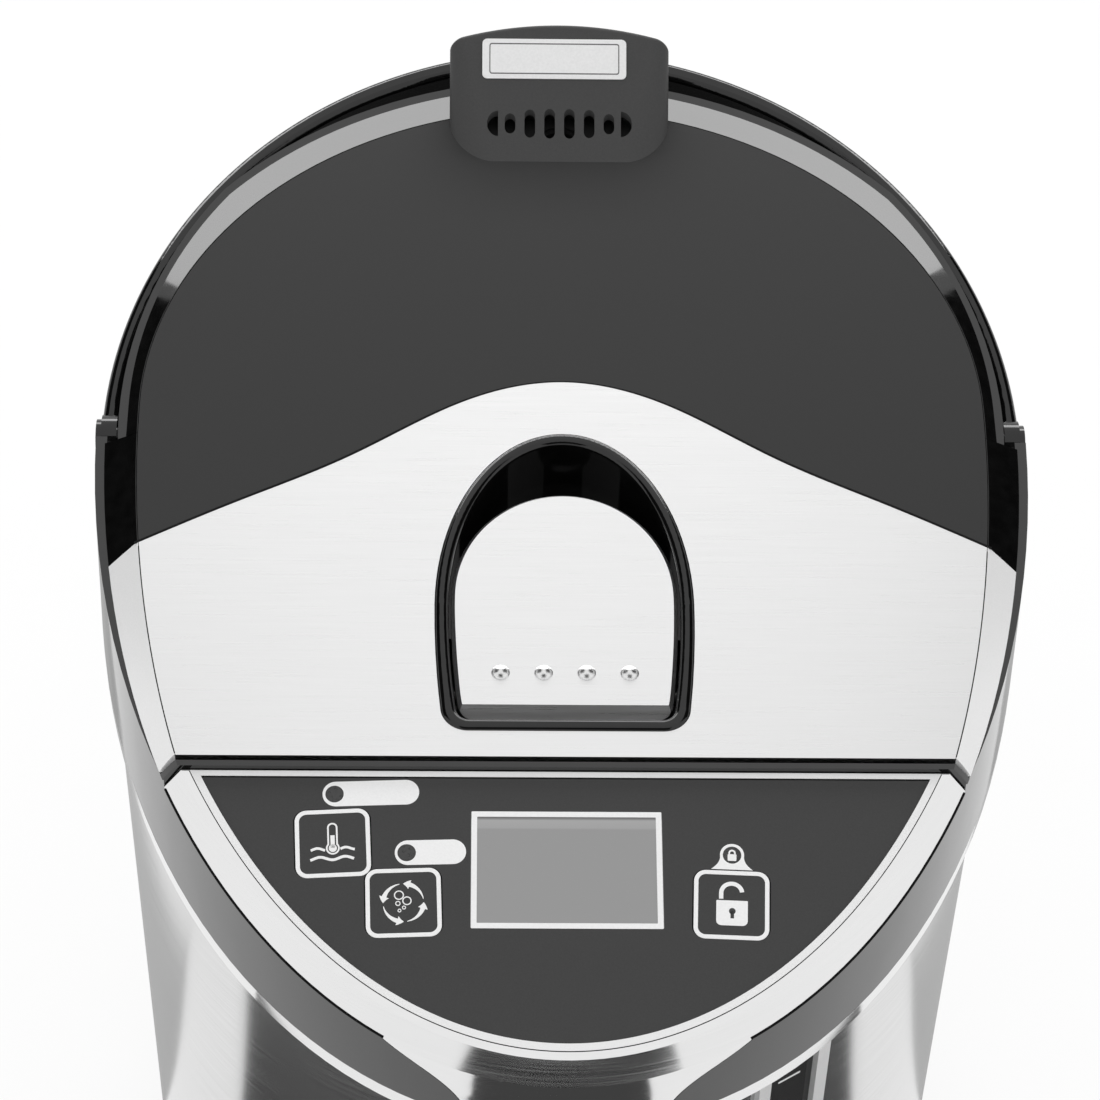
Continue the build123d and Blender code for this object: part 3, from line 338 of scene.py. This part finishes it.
def greys(dark, light):
    """Two grey tones."""
    return grey(dark), grey(light)


def brushed(name, scale, tones, rough, strength=0.15, draw=0.0):
    """Brushed metal: noise drawn out along the brushing varies tone, roughness and a fine relief. With
    draw, the gloss spreads across lines that run round the upright axis."""
    material, nodes, shader = finish(name, tones[1], rough[0], 1.0)
    shader.inputs["Anisotropic"].default_value = draw
    shader.inputs["Anisotropic Rotation"].default_value = 0.25
    lines = grain(material, nodes, scale, 4.0, 1.0)
    vary(material, nodes, shader, lines, tones, rough)
    if strength:
        relief(material, nodes, shader, lines, strength, BRUSH_DEPTH)
    return material


def moulded(name, tones, rough, size, depth=0.0, specular=0.5):
    """Moulded plastic: fine even grain varies tone and roughness and can give a slight texture."""
    material, nodes, shader = finish(name, tones[1], rough[0])
    shader.inputs["Specular IOR Level"].default_value = specular
    skin = grain(material, nodes, EVEN, 3.0, size)
    vary(material, nodes, shader, skin, tones, rough)
    if depth:
        relief(material, nodes, shader, skin, MOULD_STRENGTH, depth)
    return material


def metal_paint(name, tones, rough, metal=0.25, size=3500.0):
    """Silver paint: part metal, part pigment, with a fine flake in tone and roughness."""
    material, nodes, shader = finish(name, tones[1], rough[0], metal)
    vary(material, nodes, shader, grain(material, nodes, EVEN, 2.0, size), tones, rough)
    return material


def clear_plastic(name, tint, rough, through, bend=1.45, size=60.0):
    """See-through plastic with a faint haze. The bend is its refractive index."""
    material, nodes, shader = finish(name, tint, rough[0])
    shader.inputs["Transmission Weight"].default_value = through
    shader.inputs["IOR"].default_value = bend
    haze = grain(material, nodes, EVEN, 2.0, size)
    wire(material, spread(material, nodes, haze, *rough), shader.inputs["Roughness"])
    return material


# Tone of the display glass at shares of its length, from the front edge to the back edge. The last two
# steps make a dark line at the back edge, which is painted shadow of the frame.
DISPLAY_TONES_AND_SHADOW = ((0.0, 0.275), (0.88, 0.275), (0.9, 0.325), (0.97, 0.34), (0.985, 0.2), (1.0, 0.13))


def display_film_and_shadow(name, rough):
    """Display glass: even grey with a fine dot grain. Near the back edge lie a paler strip and then a dark
    line of painted shadow, given by the place along Y in metres."""
    material, nodes, shader = finish(name, grey(DISPLAY_TONES_AND_SHADOW[0][1]), rough[0])
    place = nodes.new("ShaderNodeTexCoord")
    split = nodes.new("ShaderNodeSeparateXYZ")
    span = nodes.new("ShaderNodeMapRange")
    span.inputs["From Min"].default_value = (AXIS_Y + DISPLAY_Y - DISPLAY_LENGTH / 2) * MM
    span.inputs["From Max"].default_value = (AXIS_Y + DISPLAY_Y + DISPLAY_LENGTH / 2) * MM
    steps = nodes.new("ShaderNodeValToRGB")
    band = steps.color_ramp.elements
    band[0].color = (*grey(DISPLAY_TONES_AND_SHADOW[0][1]), 1)
    band[1].color = (*grey(DISPLAY_TONES_AND_SHADOW[-1][1]), 1)
    for at, tone in DISPLAY_TONES_AND_SHADOW[1:-1]:
        band.new(at).color = (*grey(tone), 1)
    wire(material, place.outputs["Object"], split.inputs["Vector"])
    wire(material, split.outputs["Y"], span.inputs["Value"])
    wire(material, span.outputs["Result"], steps.inputs["Fac"])
    wire(material, steps.outputs["Color"], shader.inputs["Base Color"])
    dots = grain(material, nodes, EVEN, 2.0, 2500.0)
    wire(material, spread(material, nodes, dots, *rough), shader.inputs["Roughness"])
    shader.inputs["Specular IOR Level"].default_value = 0.2
    return material


plate_steel = brushed("plate_steel", (45.0, 3200.0, 3200.0), greys(0.78, 0.80), (0.27, 0.31),
                      strength=0.06)
shell_steel = brushed("shell_steel", (30.0, 30.0, 3200.0), greys(0.66, 0.74), (0.12, 0.16), strength=0.1,
                      draw=0.85)
polished = brushed("polished_trim", (40.0, 40.0, 2600.0), greys(0.79, 0.81), (0.07, 0.10), strength=0.0)
plain_steel = brushed("plain_steel", (40.0, 40.0, 900.0), greys(0.5, 0.6), (0.25, 0.4))
brass = brushed("brass", (60.0, 60.0, 700.0), ((0.55, 0.42, 0.2), (0.7, 0.55, 0.28)), (0.25, 0.4))
cast = brushed("cast_aluminium", (300.0, 300.0, 300.0), greys(0.5, 0.62), (0.4, 0.55))
black_gloss = moulded("black_gloss", greys(0.002, 0.004), (0.04, 0.07), 300.0)
collar_gloss = moulded("collar_gloss", greys(0.003, 0.005), (0.05, 0.08), 300.0, specular=0.75)
black_matte = moulded("black_matte", greys(0.010, 0.016), (0.42, 0.55), 1500.0, depth=0.00002,
                      specular=0.35)
lid_satin = moulded("lid_satin", greys(0.017, 0.020), (0.5, 0.58), 2600.0, depth=0.00001, specular=0.25)
hood_satin = moulded("hood_satin", greys(0.046, 0.055), (0.5, 0.62), 2200.0, depth=0.00002, specular=0.25)
membrane_film = moulded("membrane_film", greys(0.035, 0.041), (0.42, 0.5), 2600.0, depth=0.00001,
                        specular=0.25)
silver_paint = metal_paint("silver_paint", greys(0.77, 0.81), (0.30, 0.36))
silver_film = metal_paint("silver_film", greys(0.72, 0.76), (0.34, 0.42))
pale_print = moulded("pale_print", greys(0.76, 0.80), (0.45, 0.5), 2200.0, specular=0.3)
pale_plate = moulded("pale_plate", greys(0.74, 0.79), (0.4, 0.5), 1600.0, specular=0.3)
line_print = moulded("line_print", greys(0.11, 0.15), (0.4, 0.5), 2200.0, specular=0.3)
ink = moulded("ink", greys(0.002, 0.004), (0.55, 0.65), 2200.0, specular=0.1)
dark_print = moulded("dark_print", greys(0.03, 0.05), (0.4, 0.5), 2200.0, specular=0.3)
lamp_dark = moulded("lamp_dark", greys(0.035, 0.05), (0.25, 0.32), 1500.0, specular=0.3)
# Display glass with a line of painted shadow along its back edge.
display = display_film_and_shadow("display_film_and_shadow", (0.28, 0.36))
rubber = moulded("foot_rubber", greys(0.02, 0.035), (0.7, 0.85), 900.0, depth=0.00003)
silicone = moulded("silicone", greys(0.55, 0.65), (0.5, 0.65), 600.0, depth=0.00002)
board = moulded("circuit_board", ((0.03, 0.13, 0.05), (0.04, 0.17, 0.07)), (0.4, 0.55), 800.0)
clear = clear_plastic("clear_tube", grey(0.9), (0.04, 0.10), 0.85)
smoked = clear_plastic("smoked_window", grey(0.04), (0.05, 0.11), 0.35)

NODE_FINISH = {
    "feet": rubber, "base_plate": black_matte, "base_screws": plain_steel, "base_ring": black_gloss,
    "outer_shell": shell_steel, "inner_tank": plain_steel, "heater_plate": cast,
    "thermostats": pale_plate, "temperature_sensor": brass, "pump_body": pale_plate,
    "pump_motor": plain_steel, "pump_impeller": pale_plate, "suction_tube": silicone,
    "riser_tube": clear, "outlet_tube": silicone, "spout_nozzle": black_gloss,
    "nose_floor": black_matte, "gauge_frame": silver_paint, "gauge_window": smoked,
    "power_inlet": black_matte, "inlet_pins": brass, "power_board": board, "collar": collar_gloss,
    "collar_strip": polished, "front_trim": polished, "panel_membrane": membrane_film,
    "lcd_window": display, "lcd_module": dark_print, "button_setting": membrane_film,
    "button_reboil": membrane_film, "button_lock": membrane_film, "indicator_lenses": lamp_dark,
    "control_board": board, "key_switches": black_matte, "handle": black_gloss,
    "handle_pins": black_gloss, "lid_rim": black_gloss, "lid_rim_corners": black_gloss,
    "lid_front_trim": silver_paint, "lid_top_plate": lid_satin, "lid_front_plate": plate_steel,
    "lid_frame": black_matte, "lever_cup": black_gloss, "lever_plate": plate_steel,
    "lever_pin": black_matte, "latch_bolt": black_matte, "latch_keeper": plain_steel,
    "lid_inner_plate": plain_steel, "lid_gasket": silicone, "steam_duct": black_matte,
    "spill_valve": silicone, "vent_hood": hood_satin, "label_plate": pale_plate,
    "hinge_bracket": black_matte, "hinge_pin": plain_steel, "cup_lever": black_gloss,
    "cup_lever_pin": plain_steel, "cup_switch": black_matte,
}
for node, look in NODE_FINISH.items():
    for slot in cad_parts[node].material_slots:
        slot.material = look


# Print on the keys, the panel, the lid, the label and the gauge

# Place of each key on the panel and its turn in degrees.
KEYS = {"setting": ((-49.3, -116.0), 3.0), "reboil": ((-34.2, -129.4), 2.0),
        "lock": ((34.4, -129.6), -2.2)}
KEY_WIDTH = 15.8
KEY_LENGTH = 15.4
KEY_LINE = 0.9
KEY_ROUND = 2.5
KEY_INNER_ROUND = 1.65
KEY_FRAME = (rounded_box(0, 0, KEY_WIDTH, KEY_LENGTH, KEY_ROUND),
             rounded_box(0, 0, KEY_WIDTH - 2 * KEY_LINE, KEY_LENGTH - 2 * KEY_LINE, KEY_INNER_ROUND), True)
BULB_Y = -1.15
BULB_DOT = 0.86
STEM_TOP = 1.8
STEM_WIDTH = 0.9
RIPPLE_WIDTH = 0.55
WATER_WIDTH = 0.6
LOCK_MIDDLE = (0.1, -1.8)
LOCK_WIDTH = 6.6
LOCK_LENGTH = 5.6
LOCK_ROUNDS = (0.2, 0.2, 1.1, 1.1)
SHACKLE_HALF = 2.2
SHACKLE_RISE = 2.15
SHACKLE_Y = 2.65
SHACKLE_WIDTH = 0.9
HOLE_MIDDLE = (0.15, -1.4)
HOLE_RADIUS = 0.7
HOLE_END = (0.15, -3.0)
HOLE_WIDTH = 0.74


def bulb_outline(half, bulb, top):
    """Outline of a thermometer: round the bulb from one side of the tube to the other, then up and over the
    tube."""
    meet = np.degrees(np.arccos(half / bulb))
    low = arc(0, BULB_Y, bulb, bulb, meet, meet - 180 - 2 * meet, 40)
    high = arc(0, top - half, half, half, 180, 0, 24)
    return np.concatenate([low, high])


setting_print = [
    KEY_FRAME,
    (bulb_outline(half=1.1, bulb=1.45, top=4.65), bulb_outline(half=0.74, bulb=1.1, top=4.29), True),
    full(circle(0, BULB_Y, BULB_DOT), 0, BULB_Y),
    stroke(straight((0, -1.1), (0, STEM_TOP)), STEM_WIDTH),
    stroke(wave(-3.15, -1.35, width=3.0, height=0.28, waves=0.75, start=-0.6), RIPPLE_WIDTH),
    stroke(wave(3.1, -1.3, width=3.0, height=0.28, waves=0.75, start=-0.2), RIPPLE_WIDTH),
    stroke(wave(-0.2, -3.45, width=9.2, height=0.34, waves=1.75, start=-0.9, count=64), WATER_WIDTH),
]
arrows = [arrow(4.25, start, sweep=80.0, body=0.5, head=1.05) for start in (10.0, 100.0, 190.0, 280.0)]
bubbles = [ring(-0.9, 1.7, 1.05, 0.24), ring(0.75, 0.4, 0.98, 0.24), ring(-1.15, -0.15, 0.56, 0.2),
           ring(0.1, -1.1, 0.42, 0.18), ring(-0.85, -1.75, 0.4, 0.18)]
reboil_print = [KEY_FRAME] + arrows + bubbles
shackle = np.concatenate([straight((-SHACKLE_HALF, 1.35), (-SHACKLE_HALF, 2.5), 8),
                          arc(0, SHACKLE_Y, SHACKLE_HALF, SHACKLE_RISE, 180, 8, 40)])
lock_print = [
    KEY_FRAME,
    full(rounded_box(*LOCK_MIDDLE, LOCK_WIDTH, LOCK_LENGTH, LOCK_ROUNDS), *LOCK_MIDDLE),
    stroke(shackle, SHACKLE_WIDTH),
]
keyhole = [full(circle(*HOLE_MIDDLE, HOLE_RADIUS), *HOLE_MIDDLE),
           stroke(straight(HOLE_MIDDLE, HOLE_END), HOLE_WIDTH)]

for key, shapes in (("setting", setting_print), ("reboil", reboil_print), ("lock", lock_print)):
    piece("print_" + key, laid(moved(shapes, *KEYS[key])), "key_" + key, pale_print)
piece("print_keyhole", laid(moved(keyhole, *KEYS["lock"]), lift=KEYHOLE_LIFT),
      "key_lock", dark_print)

LAMP_RADIUS = 1.95
TAB_Y = 11.3
TAB_FLARE = 2.2
DISPLAY_HOLE = np.array([37.8, 24.1])
DISPLAY_LINE = 1.2
DISPLAY_ROUND = 0.2
DISPLAY_INNER_ROUND = 0.1
SMALL_LOCK_Y = 10.75
SMALL_SHACKLE_HALF = 0.6
SMALL_SHACKLE_FOOT = 11.4
SMALL_SHACKLE_Y = 11.75
SMALL_SHACKLE_WIDTH = 0.36


def tab_outline(lift, round_half, base, half):
    """Outline of the lock's tab: a round top, then a hollow flare on both sides down to a straight base."""
    fall = np.linspace(0, 1, 20)
    start = arc(0, lift, round_half, round_half, -8, 188, 48)
    left = start[-1] + (np.array([-half, base]) - start[-1]) * np.column_stack([fall ** TAB_FLARE, fall])
    foot = straight((-half, base), (half, base), 16)[1:-1]
    right = left[::-1] * [-1, 1]
    return np.concatenate([start, left[1:], foot, right[:-1]])


# Each pill: its outline about the lamp, its turn in degrees and the lamp's place.
pills = ((rounded_box(7.7, 0, width=20.5, height=5.7, corners=2.84, count=24), 2.0, (-49.2, -104.7)),
         (rounded_box(5.0, 0, width=15.0, height=5.6, corners=2.79, count=24), 1.6, (-33.7, -118.1)))
panel_print = []
for outline, turn, place in pills:
    panel_print += moved([pierced(outline, 0, 0, LAMP_RADIUS)], place, turn)
lock_tab = tab_outline(TAB_Y, round_half=2.55, base=8.0, half=4.4)
panel_print += moved([pierced(lock_tab, 0, TAB_Y, LAMP_RADIUS)], *KEYS["lock"])
display_frame = (rounded_box(0, DISPLAY_Y, *(DISPLAY_HOLE + 2 * DISPLAY_LINE), DISPLAY_ROUND),
                 rounded_box(0, DISPLAY_Y, *DISPLAY_HOLE, DISPLAY_INNER_ROUND), True)
panel_print.append(display_frame)
piece("print_panel", laid(panel_print), "pot", pale_print)

small_shackle = np.concatenate([
    straight((-SMALL_SHACKLE_HALF, SMALL_SHACKLE_FOOT), (-SMALL_SHACKLE_HALF, SMALL_SHACKLE_Y), 4)[:-1],
    arc(0, SMALL_SHACKLE_Y, SMALL_SHACKLE_HALF, SMALL_SHACKLE_HALF, 180, 0, 24),
    straight((SMALL_SHACKLE_HALF, SMALL_SHACKLE_Y), (SMALL_SHACKLE_HALF, SMALL_SHACKLE_FOOT), 4)[1:],
])
small_lock = [full(rounded_box(0, SMALL_LOCK_Y, width=1.85, height=1.5, corners=0.2), 0, SMALL_LOCK_Y),
              stroke(small_shackle, SMALL_SHACKLE_WIDTH)]
piece("print_small_lock", laid(moved(small_lock, *KEYS["lock"])), "pot", pale_print)

BORDER_OUT = 1.7
BORDER_IN = 0.08
BORDER_BACK = BAR_FRONT + 0.25
BORDER_INNER_BACK = MEMBRANE_BACK - 0.1
GROOVE_OUT = 1.92
GROOVE_IN = 1.72
GROOVE_BACK = 99.7
EDGE_BACK = 100.0
EDGE_NOSE = 38.0
EDGE_RADIUS = 0.28


def bow_line(margin, back, count=200):
    """The panel's front outline with a margin, as an open line: the front half of an ellipse between
    two points at the back."""
    side, front = MEMBRANE_SIDE + margin, MEMBRANE_FRONT + margin
    reach = np.arccos(back / front)
    turn = np.linspace(-reach, reach, count)
    return np.column_stack([side * np.sin(turn), -front * np.cos(turn)])


def border_line(margin, back, across=80):
    """The same outline closed by a straight line at the back."""
    bow = bow_line(margin, back, 160)
    return np.concatenate([bow, straight(bow[-1], bow[0], across)[1:-1]])


def trim_edge_reflection(count=120, around=10):
    """Thin round line of painted dark reflection along the right half of the trim's lower edge, from its
    back to the nose. In plan the edge is an ellipse. The line's circle stands on the outward direction of
    the edge and the upright."""
    turn = np.linspace(np.arccos(EDGE_BACK / TRIM_FRONT), np.arcsin(EDGE_NOSE / TRIM_SIDE), count)
    plan = np.column_stack([TRIM_SIDE * np.sin(turn), -TRIM_FRONT * np.cos(turn)])
    middle = np.column_stack([plan, trim_height(*plan.T) - TRIM_DROP])
    outward = np.column_stack([np.sin(turn) / TRIM_SIDE, -np.cos(turn) / TRIM_FRONT])
    outward = outward / np.linalg.norm(outward, axis=1)[:, None]
    spin = np.linspace(0, 2 * np.pi, around, endpoint=False)
    hoop = np.stack([outward[:, None, 0] * np.cos(spin), outward[:, None, 1] * np.cos(spin),
                     np.ones((count, 1)) * np.sin(spin)], -1)
    return middle[:, None] + EDGE_RADIUS * hoop


border = (border_line(BORDER_OUT, BORDER_BACK), border_line(BORDER_IN, BORDER_INNER_BACK), True)
piece("panel_border", laid([border], trim_height, BORDER_LIFT), "pot", silver_film)
groove = (bow_line(GROOVE_OUT, GROOVE_BACK), bow_line(GROOVE_IN, GROOVE_BACK), False)
piece("border_groove", laid([groove], trim_height, GROOVE_LIFT), "pot", ink)
# Dark ink lines on both halves of the trim's lower edge: a painted reflection on the polished edge.
right_edge_reflection = trim_edge_reflection()
left_edge_reflection = right_edge_reflection * [-1, 1, 1]
piece("trim_edge_reflection_line", [(right_edge_reflection, False), (left_edge_reflection, False)], "pot", ink, True)

# Points of the wave between the lid's two plates, from beside the crest to the side, and the crest itself.
WAVE_SIDE = ((25.5, -0.15), (48.04, -14.6), (72.58, -27.73), (95.5, -40.2))
WAVE_CREST = (0.0, 7.2)
WAVE_SHIFT = (0.0, 0.08)
WAVE_WIDTH = 0.3
WAVE_SPREAD = 0.3
WAVE_REACH = 40.0
CORNER_SIDE = 96.78
CORNER_FRONT = 189.78
CORNER_START = 41.0
CORNER_END = 96.2
CORNER_WIDTH = 0.26

seam = smooth_line([(-x, y) for x, y in WAVE_SIDE[::-1]] + [WAVE_CREST] + list(WAVE_SIDE), 240)
seam_width = (WAVE_WIDTH + WAVE_SPREAD * np.clip(np.abs(seam[:, 0]) / WAVE_REACH, 0, 1))[:, None]
wave_line = stroke(seam + WAVE_SHIFT, seam_width)
piece("wave_seam", laid([wave_line], lid_height, SEAM_LIFT), "lid", ink)
corner_turn = np.arccos(np.linspace(CORNER_START, CORNER_END, 80) / CORNER_FRONT)
corner = np.column_stack([CORNER_SIDE * np.sin(corner_turn), -CORNER_FRONT * np.cos(corner_turn)])
corner_lines = [stroke(corner, CORNER_WIDTH), stroke(corner * [-1, 1], CORNER_WIDTH)]
piece("corner_seams", laid(corner_lines, lid_height, SEAM_LIFT), "lid", ink)

label_frame = (rounded_box(0, 0, width=31.6, height=6.6, corners=0.6),
               rounded_box(0, 0, width=31.1, height=6.1, corners=0.4), True)
piece("label_border", laid(moved([label_frame], LABEL_MIDDLE, 0.0), label_height, BORDER_LIFT),
      "lid", line_print)

MARK_LEVELS = np.linspace(85.0, 221.0, 9)
MARK_HALF = 0.35
MARK_LONG = 3.2
MARK_SHORT = 1.8
MARK_LIFT = 0.06
MARK_ROOT = 0.1


def gauge_point(across, level, out):
    """Points on the gauge window: across its face, up from the base, and out from the axis along
    its normal."""
    c, s = np.cos(GAUGE_TURN), np.sin(GAUGE_TURN)
    return np.stack([s * out + c * across, -c * out + s * across, level], -1)


def gauge_mark(level, wide, count=5):
    """Short bar on the gauge window: a flat box as a profile of four corners carried across the window."""
    across = np.linspace(-wide, wide, count)
    inner, outer = GAUGE_FACE - MARK_ROOT, GAUGE_FACE + MARK_LIFT
    low, high = level - MARK_HALF, level + MARK_HALF
    corners = ((low, inner), (low, outer), (high, outer), (high, inner))
    rows = [gauge_point(across, np.full(count, z), np.full(count, out)) for z, out in corners]
    return np.stack(rows, 1), False


marks = [gauge_mark(level, MARK_SHORT if step % 2 else MARK_LONG) for step, level in enumerate(MARK_LEVELS)]
piece("gauge_marks", marks, "pot", pale_print)


# Stage, light and camera, in metres unless a line says otherwise

SEEN = ("Is Camera Ray", "Is Glossy Ray", "Is Transmission Ray")
FLOOR_SIZE = 8.0
FLOOR_LEVEL = -0.0002
FLOOR_WHITE = 0.86
FLAG_LEVEL = 0.0004
FAN_START = 0.02
SOFT_LIGHT = 0.6
WHITE_LIGHT = 1.0
SENSOR = 36.0
PHOTO_SIDE = 1100.0
CLIP = 0.01


def placed(right, up, back, place):
    """Matrix with these three axes as its columns and this place."""
    return Matrix(np.vstack([np.column_stack([right, up, back, place]), [0, 0, 0, 1]]).tolist())


def facing(place, target):
    """Matrix of a thing at a place that looks at a target with its own back axis pointing away from it."""
    place, target = np.array(place), np.array(target)
    back = (place - target) / np.linalg.norm(place - target)
    right = np.cross([0.0, 0.0, 1.0], back)
    right = right / np.linalg.norm(right)
    return placed(right, np.cross(back, right), back, place)


def sheet(name, x, y, level=0.0):
    """Flat sheet over a grid of points, given by the two plan coordinates as arrays of rows and columns."""
    rows, cols = x.shape
    i, j = np.meshgrid(np.arange(rows - 1), np.arange(cols - 1), indexing="ij")
    corner = i * cols + j
    faces = np.stack([corner, corner + cols, corner + cols + 1, corner + 1], -1).reshape(-1, 4)
    points = np.stack([x, y, np.full_like(x, level)], -1).reshape(-1, 3)
    mesh = bpy.data.meshes.new(name)
    mesh.from_pydata(points.tolist(), [], faces.tolist())
    thing = bpy.data.objects.new(name, mesh)
    bpy.context.scene.collection.objects.link(thing)
    return thing


def square(width, depth):
    """Grid of a rectangle about its middle, three points by three."""
    across = np.linspace(-width / 2, width / 2, 3)
    along = np.linspace(-depth / 2, depth / 2, 3)
    return np.meshgrid(across, along, indexing="ij")


def any_ray(tree, names):
    """Light Path value that is one for any of the named kinds of ray."""
    rays = tree.nodes.new("ShaderNodeLightPath")
    value = rays.outputs[names[0]]
    for name in names[1:]:
        either = tree.nodes.new("ShaderNodeMath")
        either.operation = "MAXIMUM"
        tree.links.new(value, either.inputs[0])
        tree.links.new(rays.outputs[name], either.inputs[1])
        value = either.outputs[0]
    return value


def white_floor():
    """Pale paper under the feet. For rays that see it, most of it is plain white, and the rest keeps
    the shadow."""
    floor = sheet("floor", *square(FLOOR_SIZE, FLOOR_SIZE), FLOOR_LEVEL)
    material, nodes, shader = finish("floor_paper", grey(0.9), 0.9)
    shader.inputs["Specular IOR Level"].default_value = 0.0
    paper = grain(material, nodes, EVEN, 2.0, 40.0)
    wire(material, shade(material, nodes, paper, *greys(0.89, 0.91)), shader.inputs["Base Color"])
    white = nodes.new("ShaderNodeEmission")
    white.inputs["Color"].default_value = (1, 1, 1, 1)
    white.inputs["Strength"].default_value = WHITE_LIGHT
    part = nodes.new("ShaderNodeMixShader")
    part.inputs["Fac"].default_value = FLOOR_WHITE
    seen = nodes.new("ShaderNodeMixShader")
    wire(material, shader.outputs[0], part.inputs[1])
    wire(material, white.outputs[0], part.inputs[2])
    wire(material, any_ray(material.node_tree, SEEN), seen.inputs["Fac"])
    wire(material, shader.outputs[0], seen.inputs[1])
    wire(material, part.outputs[0], seen.inputs[2])
    wire(material, seen.outputs[0], nodes["Material Output"].inputs["Surface"])
    floor.data.materials.append(material)


def flag(name, grid, matrix, tone):
    """Dark card that only shows in gloss: neither the camera nor the soft light on the pot meets it."""
    card = sheet(name, *grid)
    card.matrix_world = matrix
    material, nodes, shader = finish(name + "_card", grey(0.0), 1.0)
    shader.inputs["Specular IOR Level"].default_value = 0.0
    glow = nodes.new("ShaderNodeEmission")
    glow.inputs["Color"].default_value = (*grey(tone), 1)
    wire(material, glow.outputs[0], nodes["Material Output"].inputs["Surface"])
    card.data.materials.append(material)
    card.visible_camera = card.visible_diffuse = card.visible_shadow = False
    card.visible_transmission = card.visible_volume_scatter = False


def floor_flag(name, width, depth, place, tone):
    """Dark card that lies on the floor and only shows in gloss."""
    flag(name, square(width, depth), Matrix.Translation((*place, FLAG_LEVEL)), tone)


def fan_flag(name, reach, turn, tone):
    """Dark card on the floor in front of the pot: a fan from near its middle to a reach, to both sides
    by an angle."""
    sweep = np.radians(np.linspace(-turn, turn, 49))
    angle, radius = np.meshgrid(sweep, np.linspace(FAN_START, reach, 3), indexing="ij")
    fan = (radius * np.sin(angle), -radius * np.cos(angle))
    flag(name, fan, Matrix.Translation((0.0, 0.0, FLAG_LEVEL)), tone)


def softbox(name, place, target, width, height, power, shows):
    """Area lamp at a place that looks at a target. It shows in gloss or only gives soft light."""
    lamp = bpy.data.lights.new(name, "AREA")
    lamp.shape = "RECTANGLE"
    lamp.size = width
    lamp.size_y = height
    lamp.energy = power
    box = bpy.data.objects.new(name, lamp)
    box.matrix_world = facing(place, target)
    box.visible_glossy = shows
    bpy.context.scene.collection.objects.link(box)


def white_world():
    """World that is plain white for the rays that see it and gives softer light to all other rays."""
    world = bpy.data.worlds.new("studio")
    bpy.context.scene.world = world
    world.use_nodes = True
    tree = world.node_tree
    tree.nodes.clear()
    blend = tree.nodes.new("ShaderNodeMixShader")
    for strength, into in ((SOFT_LIGHT, 1), (WHITE_LIGHT, 2)):
        light = tree.nodes.new("ShaderNodeBackground")
        light.inputs["Color"].default_value = (1, 1, 1, 1)
        light.inputs["Strength"].default_value = strength
        tree.links.new(light.outputs[0], blend.inputs[into])
    out = tree.nodes.new("ShaderNodeOutputWorld")
    tree.links.new(any_ray(tree, SEEN), blend.inputs["Fac"])
    tree.links.new(blend.outputs[0], out.inputs["Surface"])


def photo_camera(azimuth, elevation, roll, distance, shift_x, shift_y, focal, side):
    """Camera on a line from the axis point of the lid plane: back direction from azimuth and elevation,
    turned by a roll, then moved sideways and upwards in its own plane. Angles are in degrees, lengths in
    millimetres, and the focal length in pixels of the photo."""
    a, e, t = np.radians([azimuth, elevation, roll])
    back = np.array([np.sin(a) * np.cos(e), -np.cos(a) * np.cos(e), np.sin(e)])
    right = np.array([np.cos(a), np.sin(a), 0.0])
    up = np.cross(back, right)
    r = np.cos(t) * right + np.sin(t) * up
    u = -np.sin(t) * right + np.cos(t) * up
    place = (back * distance - r * shift_x - u * shift_y + np.array([side, AXIS_Y, LID])) * MM
    lens = bpy.data.cameras.new("camera")
    lens.sensor_width = SENSOR
    lens.sensor_fit = "HORIZONTAL"
    lens.lens = focal * SENSOR / PHOTO_SIDE
    lens.clip_start = CLIP
    camera = bpy.data.objects.new("camera", lens)
    camera.matrix_world = placed(r, u, back, place)
    bpy.context.scene.collection.objects.link(camera)
    bpy.context.scene.camera = camera


white_floor()
white_world()
softbox("back_softbox", (0.0, 1.80, 1.26), (0.0, 0.05, 0.29), width=2.2, height=0.58, power=20.0,
        shows=True)
softbox("top_softbox", (0.0, -0.2, 1.9), (0.0, 0.0, 0.2), width=1.6, height=1.2, power=7.0, shows=False)
for name, side in (("left", -1), ("right", 1)):
    softbox(name + "_softbox", (side * 1.4, -0.5, 0.9), (0.0, 0.0, 0.2), width=0.7, height=1.2, power=5.0,
            shows=False)
    flag(name + "_flag", square(1.4, 1.64), facing((side * 1.10, 0.66, 1.46), (0.0, 0.05, 1.0)), tone=0.01)
fan_flag("shell_flag", reach=0.24, turn=75.0, tone=0.08)
floor_flag("nose_flag", width=0.22, depth=0.22, place=(0.0, -0.31), tone=0.06)
floor_flag("lip_flag", width=0.95, depth=0.28, place=(0.03, -1.06), tone=0.03)
floor_flag("shade_flag", width=0.38, depth=0.33, place=(0.0, 0.185), tone=0.5)
flag("camera_flag", square(1.3, 1.1), facing((0.0, -1.15, 1.35), (0.0, -0.06, 0.3)), tone=0.05)
photo_camera(azimuth=-1.71, elevation=48.74, roll=1.65, distance=834.0, shift_x=2.4, shift_y=33.0,
             focal=3635.0, side=-0.4)
bpy.context.scene.view_settings.view_transform = "Standard"
